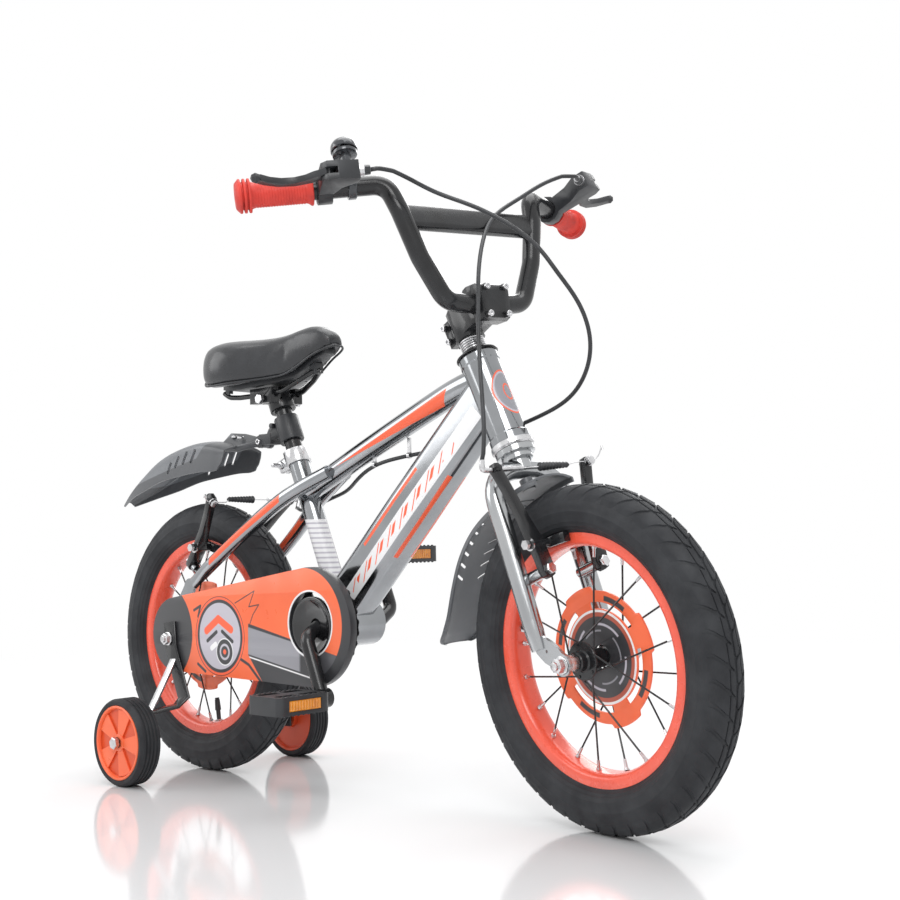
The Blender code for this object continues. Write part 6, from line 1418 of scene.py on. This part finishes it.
bellows = []
for k in range(9):
    start = 0.0048 * k
    bellows += [(0.0026 + 0.0002 * (k % 2), start), (0.005 - 0.0002 * k, start + 0.002),
                (0.005 - 0.0002 * k, start + 0.0029)]
bellows += [(0.0016, 0.0444), (0.0009, 0.0444), (0.0009, 0.0)]
for label in ("front_left", "front_right", "rear_left", "rear_right"):
    node, body = label + "_brake_arm", label + "_arm_set"
    sign = 1 if label.endswith("left") else -1
    at = armPlace(label)
    polished(node, "blackEnamel", 0.0007)
    spring = [(-0.0058, sign * 0.001, 0.004), (-0.006, sign * 0.0048, 0.026),
              (-0.006, sign * 0.009, 0.05), (-0.0056, sign * 0.0096, 0.056)]
    steelParts = [placed(hexBolt(0.0096, 0.0042), aimed((0, sign * 0.0161, 0.0295), (0, sign, 0))),
                  rod((0, sign * 0.0115, 0.0295), (0, sign * 0.0126, 0.0295), 0.007, 28),
                  sweep(throughPoints(spring, 0.004), circle(0.0009, 8))]
    if label in ("front_left", "rear_right"):
        # the wire's end is held under a bolt, and its tail stands out
        steelParts.append(placed(hexBolt(0.0092, 0.0034), aimed(reach(sign, 0.0, 0.0081), (1, 0, 0))))
        steelParts.append(rod(reach(sign, 0.0, 0.0047), reach(sign, 0.0, 0.006), 0.0058, 24))
        tail = [(0.0064, 0.0136, 0.0), (0.0064, 0.023, 0.0), (0.0066, 0.033, 0.0006),
                (0.008, 0.042, 0.005), (0.01, 0.05, 0.015)]
        tail = throughPoints([(x, sign * y, brake["top"] + z) for x, y, z in tail], 0.002)
        steelParts.append(sweep(tail, circle(brake["wire"], 8)))
        end = tail[-1]
        steelParts.append(rod(end - Vector((0, 0, 0.004)), end + Vector((0, 0, 0.001)), 0.0011, 10))
    extra(label + "_arm_bolts", joined(*steelParts), at, body, 40)
    if label in ("front_right", "rear_left"):
        turned = Matrix.Rotation(math.radians(180) if sign > 0 else 0.0, 4, "X")
        boot = placed(revolve(bellows, 24), Matrix.Translation(reach(sign, 0.062)) @ turned)
        extra(label + "_boot", boot, at, body, 50, "mouldedPlastic")
        wire = sweep([reach(sign, -0.003), reach(sign, 0.104), reach(sign, 0.112, 0.006),
                      reach(sign, 0.1195, 0.0064)], circle(brake["wire"], 8))
        ferrule = rod(reach(sign, 0.004), reach(sign, 0.038), 0.0028, 16)
        extra(label + "_wire", joined(wire, ferrule), at, body, 50)

frontRoute = [(0.1141, 0.154, 0.5516), (0.1193, 0.1433, 0.5499), (0.106, 0.115, 0.553),
              (0.088, 0.072, 0.533), (0.078, 0.025, 0.51), (0.079, -0.019, 0.45), (0.078, -0.037, 0.411),
              (0.074, -0.05, 0.376), (0.066, -0.064, 0.325), (0.054, -0.074, 0.272),
              (0.046, -0.079, 0.24), (0.0347, -0.0831, 0.2228), (0.031, -0.0836, 0.2141),
              (0.0308, -0.0776, 0.2121), (0.0308, -0.0726, 0.2121)]
barRoute = [(0.1104, -0.155, 0.5338), (0.1156, -0.1443, 0.5321), (0.113, -0.112, 0.529),
            (0.108, -0.08, 0.513), (0.1239, -0.06, 0.4924), (0.1419, -0.035, 0.4601),
            (0.1505, -0.004, 0.423), (0.152, 0.004, 0.408), (0.152, 0.004, 0.396), (0.152, 0.004, 0.384),
            (0.15, 0.019, 0.369), (0.14, 0.038, 0.346), (0.125, 0.052, 0.324), (0.106, 0.06, 0.306),
            (0.084, 0.062, 0.2925)]
frameRoute = [(0.598, 0.048, 0.462), (0.57, 0.038, 0.449), (0.53, 0.032, 0.436), (0.48, 0.03, 0.425),
              (0.435, 0.027, 0.418), (0.405, 0.014, 0.414), (0.37, 0.003, 0.409), (0.331, 0.0, 0.403),
              (0.302, 0.004, 0.391), (0.266, 0.023, 0.38), (0.24, 0.036, 0.372), (0.205, 0.044, 0.367),
              (0.17, 0.049, 0.358), (0.14, 0.054, 0.352), (0.115, 0.064, 0.351), (0.0985, 0.0745, 0.356),
              (0.0919, 0.0836, 0.3694), (0.0905, 0.0776, 0.3679), (0.0905, 0.0726, 0.3679)]
cable = {"radius": 0.0024, "sides": 14, "step": 0.0035, "rounds": 70, "pinned": 9}


def relaxed(points):
    # ends stay put, the run between them loses its kinks
    points, keep = [Vector(p) for p in points], cable["pinned"]
    for _ in range(cable["rounds"]):
        inner = [(points[i - 1] + points[i] * 2 + points[i + 1]) / 4
                 for i in range(keep, len(points) - keep)]
        points = points[:keep] + inner + points[len(points) - keep:]
    return points


def housing(route):
    return sweep(relaxed(throughPoints(route, cable["step"])), circle(cable["radius"], cable["sides"]))


dress("front_cable_housing", housing(frontRoute), steerPlace, "mouldedPlastic", "front_brake_cable", 60)
rearRoute = [steerPlace @ Vector(p) for p in barRoute] + [bikePlace @ Vector(p) for p in frameRoute]
rearCable = sceneObject("rear_cable_housing", housing(rearRoute))
rearCable.data.shade_smooth()
rearCable.data.materials.append(finishes["mouldedPlastic"])
backwards = steerPlace.to_3x3() @ Vector((-0.6, 0, -0.8))
blendStart = steerPlace @ Vector((0.152, 0.004, 0.392))
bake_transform(rearCable)
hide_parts("rear_brake_cable_front", "rear_brake_cable_rear")
for label, route, place, body in (("front", frontRoute, steerPlace, "steering_set"),
                                  ("rear", frameRoute, bikePlace, "frame")):
    extra(label + "_noodle", sweep(throughPoints(route[-4:], 0.001), circle(0.0029, 16)), place, body, 60)


def cableClip(at, up):
    ring = revolve([(0.0025, -0.002), (0.0038, -0.002), (0.0038, 0.002), (0.0025, 0.002)], 20)
    ring = placed(ring, Matrix.Translation(at) @ Matrix.Rotation(math.radians(90), 4, "Z"))
    return joined(ring, block((0.004, 0.003, up), Vector(at) + Vector((0, 0, 0.0036 + up / 2 - 0.0004))))


clips = joined(cableClip((0.331, 0.0, 0.403), 0.0075), cableClip((0.384, 0.007, 0.4112), 0.018))
extra("cable_clips", clips, bikePlace, "frame", 40)


# valves
for label, place, angle in (("front", frontPlace, -52.0), ("rear", rearPlace, 172.0)):
    stem = rod((0, 0, 0.118), (0, 0, 0.101), 0.003, 16)
    cap = joined(rod((0, 0, 0.103), (0, 0, 0.0885), 0.0042, 16, 0.0034),
                 rod((0, 0, 0.0885), (0, 0, 0.086), 0.003, 14))
    nut = rod((0, 0, 0.1179), (0, 0, 0.1155), 0.0058, 6)
    turnTo = Matrix.Rotation(math.radians(angle), 4, "Y")
    extra(label + "_valve", placed(joined(stem, cap), turnTo), place, label + "_wheel_set", 40,
          "mouldedPlastic")
    extra(label + "_valve_nut", placed(nut, turnTo), place, label + "_wheel_set", 40)
print("brakes, cables and valves built")


# printed patterns and painted shade, laid out in the bicycle's own axes
def measured(made, origin, axis):
    # how far a point of the surface lies from origin, along axis
    tree = made["tree"]
    shifted = addNode(tree, "ShaderNodeVectorMath", {0: made["place"], 1: tuple(origin)},
                      operation="SUBTRACT")
    along = addNode(tree, "ShaderNodeVectorMath", {0: shifted.outputs[0], 1: tuple(axis)},
                    operation="DOT_PRODUCT")
    return Field(tree, along.outputs["Value"])


def fromCentre(x, z, centre=(0, 0)):
    across, rise = x - centre[0], z - centre[1]
    return (across * across + rise * rise).math("SQRT")


def rightOf(x, z, a, b):
    # one on the side that lies to the right when a stands above b
    length = math.hypot(b[0] - a[0], b[1] - a[1])
    away = (z - a[1]) * ((b[0] - a[0]) / length) + (x - a[0]) * ((a[1] - b[1]) / length)
    return away.above(-0.0005, 0.0005)


def strokeOf(x, z, a, b, width):
    run = (b[0] - a[0], b[1] - a[1])
    px, pz = x - a[0], z - a[1]
    square = run[0] ** 2 + run[1] ** 2
    share = (px * (run[0] / square) + pz * (run[1] / square)).math("MAXIMUM", 0.0).math("MINIMUM", 1.0)
    away = fromCentre(px - share * run[0], pz - share * run[1])
    return away.below(width / 2 - 0.0004, width / 2 + 0.0004)


def lineOf(x, z, points, width):
    mask = strokeOf(x, z, points[0], points[1], width)
    for a, b in zip(points[1:], points[2:]):
        mask |= strokeOf(x, z, a, b, width)
    return mask


printAndShadeColours = {"orange": (0.93, 0.135, 0.055), "dark": (0.04, 0.041, 0.045), "grey": (0.3, 0.3, 0.33),
        "white": (0.86, 0.86, 0.87), "lilac": (0.52, 0.5, 0.56), "shade": (0.1, 0.1, 0.11),
        "rust": (0.45, 0.09, 0.05), "recessShadeOrange": (0.7, 0.085, 0.022), "mudguardShade": (0.085, 0.089, 0.096)}
bikeOrigin = bikePlace.translation


def paint(made, mask, colourName, rough=0.34):
    # a colour over what the finish shows so far, where mask is one: mostly print, with painted shade on the
    # training wheels and rear mudguard
    tree, shader = made["tree"], made["shader"]
    made["colour"] = blendColour(tree, mask.socket, made["colour"], printAndShadeColours[colourName])
    tree.links.new(made["colour"], shader.inputs["Base Color"])
    for key, value in (("Metallic", 0.0), ("Roughness", rough)):
        socket = shader.inputs[key]
        if socket.is_linked or socket.default_value != value:
            current = socket.links[0].from_socket if socket.is_linked else socket.default_value
            mixed = addNode(tree, "ShaderNodeMix", {0: mask.socket, 2: current, 3: value})
            tree.links.new(mixed.outputs[0], socket)


def planeAxes(made):
    return [measured(made, bikeOrigin, axis) for axis in ((1, 0, 0), (0, 1, 0), (0, 0, 1))]


def guardPrint():
    made = looks["guardPattern"]
    x, y, z = planeAxes(made)
    panel = (rightOf(x, z, (0.1655, 0.23), (0.165, 0.165)) * rightOf(x, z, (0.163, 0.171), (0.197, 0.131))
             * rightOf(z, x, (0.2075, 0.167), (0.171, 0.348)))
    paint(made, panel, "dark")
    grey = (panel * rightOf(z, x, (0.2028, 0.168), (0.179, 0.3))
            * (1.0 - rightOf(z, x, (0.1693, 0.165), (0.1465, 0.3))) * x.below(0.262, 0.266))
    paint(made, grey, "grey")
    paint(made, panel * strokeOf(x, z, (0.166, 0.166), (0.318, 0.1405), 0.0017), "white")
    paint(made, panel * x.above(0.3, 0.304), "shade")
    zigzag = ((0.139, 0.233), (0.178, 0.249), (0.167, 0.229), (0.187, 0.232), (0.175, 0.219),
              (0.169, 0.2075))
    paint(made, lineOf(x, z, zigzag, 0.0015), "dark")
    for spikes in (((0.148, 0.163), (0.166, 0.156), (0.19, 0.136)), ((0.06, 0.152), (0.076, 0.143)),
                   ((0.052, 0.222), (0.066, 0.228), (0.061, 0.214))):
        paint(made, lineOf(x, z, spikes, 0.0038), "dark")
    badge = fromCentre(x, z, (0.1067, 0.19))
    paint(made, badge.below(0.0505, 0.0511), "orange")
    paint(made, badge.between(0.0503, 0.0512, 0.0003), "dark")
    paint(made, badge.below(0.0468, 0.0474), "dark")
    paint(made, badge.below(0.0425, 0.0431), "lilac")
    for points, width, colourName in ((((0.079, 0.196), (0.104, 0.212)), 0.01, "orange"),
                               (((0.104, 0.212), (0.13, 0.199)), 0.01, "orange"),
                               (((0.081, 0.183), (0.1, 0.195)), 0.005, "dark"),
                               (((0.112, 0.196), (0.133, 0.184)), 0.005, "dark"),
                               (((0.09, 0.174), (0.098, 0.179)), 0.007, "white")):
        paint(made, lineOf(x, z, points, width), colourName)
    hoop = fromCentre(x, z, (0.117, 0.17))
    for radius, colourName in ((0.0175, "white"), (0.0162, "dark"), (0.0105, "lilac"), (0.0075, "dark"),
                        (0.0032, "orange")):
        paint(made, hoop.below(radius - 0.0004, radius + 0.0004), colourName)
    paint(made, fromCentre(x, z, (-0.02, 0.19)).below(0.0675, 0.0683), "dark")
    paint(made, fromCentre(x, z, (0.272, 0.21)).above(0.0676, 0.0684) * x.above(0.27, 0.272), "dark")
    paint(made, fromCentre(x, z, guard["window"]).below(0.0405, 0.0411), "white")
    paint(made, y.above(-0.0664, -0.066), "dark")


def tubePrints():
    made = looks["topDecal"]
    x, z = planeAxes(made)[::2]
    off = z - 0.4045 - (x - 0.28) * 0.4115
    growth = x.above(0.275, 0.462)
    lower, top = off + growth * 0.0145, growth * 0.002 - off
    decal = lower.above(-0.0003, 0.0003) * top.above(-0.0003, 0.0003) * (x + off * -0.55).below(0.4655,
                                                                                                0.4662)
    paint(made, decal, "orange", 0.25)
    made = looks["downDecal"]
    along = (downEnd - downStart).normalized()
    run = measured(made, bikeOrigin + downStart, along)
    rise = measured(made, bikeOrigin + downStart, (along.z, 0, -along.x))
    side = abs(measured(made, bikeOrigin, (0, 1, 0)))
    onSide = side.above(0.015, 0.0156)
    paint(made, rise.between(-0.019, 0.0005) * run.between(0.012, 0.316) * onSide, "white", 0.28)
    slant = ((run + rise * 1.6) * 34.0).math("FRACT")
    bold = slant.between(0.1, 0.36, 0.02) * rise.between(-0.012, -0.004, 0.0006) * run.between(0.085,
                                                                                               0.285)
    thin = slant.between(0.52, 0.62, 0.02) * rise.between(-0.016, -0.002, 0.0006) * run.between(0.06, 0.3)
    paint(made, (bold | thin) * onSide, "orange", 0.28)
    paint(made, rise.between(0.012, 0.016) * run.between(0.12, 0.245) * onSide, "orange", 0.28)
    under = rise.below(-0.0245, -0.024) * side.between(0.0105, 0.0165) * run.between(0.095, 0.225)
    paint(made, under, "orange", 0.28)
    made = looks["stayDecal"]
    x, y, z = planeAxes(made)
    off = z - 0.324 - (x - 0.133) * 0.665
    stripe = off.between(-0.005, 0.0045) * x.between(0.076, 0.196) * abs(y).above(0.03, 0.032)
    paint(made, stripe, "orange", 0.25)
    made = looks["seatDecal"]
    y, z = planeAxes(made)[1:]
    label = z.between(0.262, 0.338) * y.below(0.006, 0.007)
    paint(made, label, "white", 0.4)
    paint(made, label * (z * 160.0).math("FRACT").between(0.1, 0.45, 0.05), "lilac", 0.4)
    made = looks["headChrome"]
    middle, turned = headPlace @ Vector((0, 0, 0.312)), headPlace.to_3x3()
    ahead, across, level = [measured(made, middle, turned.col[i]) for i in range(3)]
    oval = fromCentre(across, level * 0.62)
    facing = ahead.above(0.004, 0.0045)
    for radius, colourName in ((0.0174, "orange"), (0.0162, "lilac"), (0.0148, "grey"), (0.0066, "orange"),
                        (0.0052, "grey")):
        paint(made, facing * oval.below(radius - 0.0003, radius + 0.0003), colourName, 0.28)


def discPrint(name, joint):
    made, axis = looks[name], jointAxis(joint)
    upwards = (Vector((0, 0, 1)) - axis * axis.z).normalized()
    a, b = [measured(made, jointAt(joint), along) for along in (upwards, upwards.cross(axis))]
    radius = fromCentre(a, b)
    turn = (a.math("ARCTAN2", b) * 4.0).math("SINE")
    paint(made, radius.below(0.0496, 0.05), "white")
    paint(made, radius.below(0.047, 0.0474), "rust")
    paint(made, radius.below(0.0425, 0.0429), "dark")
    paint(made, radius.between(0.06, 0.0655) * turn.above(0.55, 0.6), "dark")
    paint(made, radius.between(0.0335, 0.036) * turn.above(-0.3, -0.25), "lilac")
    paint(made, radius.between(0.027, 0.0288) * turn.below(0.25, 0.3), "grey")


def trainingRecessShade():
    # painted shade: the training wheels' recessed faces, inward of the raised sectors, are darker orange
    made = looks["trainingOrange"]
    face = stab["middle"][1] + stab["half"] - 0.0046
    paint(made, abs(measured(made, bikeOrigin, (0, 1, 0))).below(face - 0.0003, face + 0.0003),
          "recessShadeOrange")


def mudguardPaintedShade():
    # painted shade: the rear mudguard's front end, and its side below a slanting line, are darkened
    made = looks["mudguardLitAndShaded"]
    x, z = planeAxes(made)[::2]
    dark = rightOf(x, z, (0.037, 0.447), (0.0, 0.408)) | rightOf(z, x, (0.389, -0.175), (0.4235, 0.002))
    paint(made, dark, "mudguardShade")


guardPrint()
tubePrints()
mudguardPaintedShade()
trainingRecessShade()
discPrint("frontDisc", "front_wheel_spin")
discPrint("rearDisc", "rear_wheel_spin")
print("patterns printed")


# stage, light and camera
view = {"place": (1.4749 + bikePlace.translation.x, -1.1105 + bikePlace.translation.y, 0.3109),
        "turn": 0.742, "pitch": -0.0676, "roll": -0.0201, "lens": 51.9}


def lookThrough():
    turn, pitch, roll = view["turn"], view["pitch"], view["roll"]
    ahead = Vector((-math.sin(turn) * math.cos(pitch), math.cos(turn) * math.cos(pitch),
                    -math.sin(pitch)))
    right = Vector((math.cos(turn), math.sin(turn), 0.0))
    up = right.cross(ahead)
    right, up = right * math.cos(roll) + up * math.sin(roll), up * math.cos(roll) - right * math.sin(roll)
    eye = bpy.data.cameras.new("camera")
    eye.lens, eye.sensor_width, eye.clip_end = view["lens"], 36.0, 60.0
    holder = sceneObject("camera", eye)
    holder.matrix_world = axesAt(Vector(view["place"]), right, up, -ahead)
    bpy.context.scene.camera = holder


def studio():
    ground = sceneObject("floor", block((18, 18, 0.02), (0, 0, -0.01)))
    sheen = bpy.data.materials.new("floorSheen")
    sheen.use_nodes = True
    tree = sheen.node_tree
    shader = tree.nodes["Principled BSDF"]
    shader.inputs["Base Color"].default_value = (0.86, 0.865, 0.875, 1)
    shader.inputs["Roughness"].default_value = 0.1
    shader.inputs["IOR"].default_value = 1.7
    # far from the bicycle the floor turns into the white of the background
    place = addNode(tree, "ShaderNodeTexCoord").outputs["Object"]
    away = addNode(tree, "ShaderNodeVectorMath", {0: place}, operation="LENGTH").outputs["Value"]
    glow = addNode(tree, "ShaderNodeEmission", {"Color": (1, 1, 1, 1), "Strength": 1.0}).outputs[0]
    merge = addNode(tree, "ShaderNodeMixShader", {0: spread(tree, away, 0.0, 1.0, 0.85, 2.4),
                                                  1: shader.outputs[0], 2: glow})
    tree.links.new(merge.outputs[0], tree.nodes["Material Output"].inputs["Surface"])
    ground.data.materials.append(sheen)
    world = bpy.data.worlds.new("studio")
    bpy.context.scene.world = world
    world.use_nodes = True
    tree = world.node_tree
    back = tree.nodes["Background"]
    rays = addNode(tree, "ShaderNodeLightPath").outputs
    seen = Field(tree, rays["Is Camera Ray"]) | rays["Is Glossy Ray"] | rays["Is Transmission Ray"]
    back.inputs["Color"].default_value = (1, 1, 1, 1)
    tree.links.new(spread(tree, seen.socket, 0.55, 1.0), back.inputs["Strength"])
    for label, at, aim, size, power in (("key", (2.2, -2.4, 2.6), (0, 0, 0.3), 1.8, 60),
                                        ("fill", (-2.4, -2.2, 1.8), (0, 0, 0.3), 2.0, 30),
                                        ("top", (0.0, 0.3, 3.0), (0, 0, 0.2), 2.4, 45),
                                        ("back", (-1.2, 2.6, 2.0), (0, 0, 0.3), 2.0, 35)):
        lamp = bpy.data.lights.new(label, "AREA")
        lamp.shape, lamp.size, lamp.energy = "SQUARE", size, power
        holder = sceneObject(label, lamp)
        turned = (Vector(aim) - Vector(at)).to_track_quat("-Z", "Y").to_matrix().to_4x4()
        holder.matrix_world = Matrix.Translation(at) @ turned


lookThrough()
studio()
bpy.context.scene.view_settings.view_transform = "Standard"
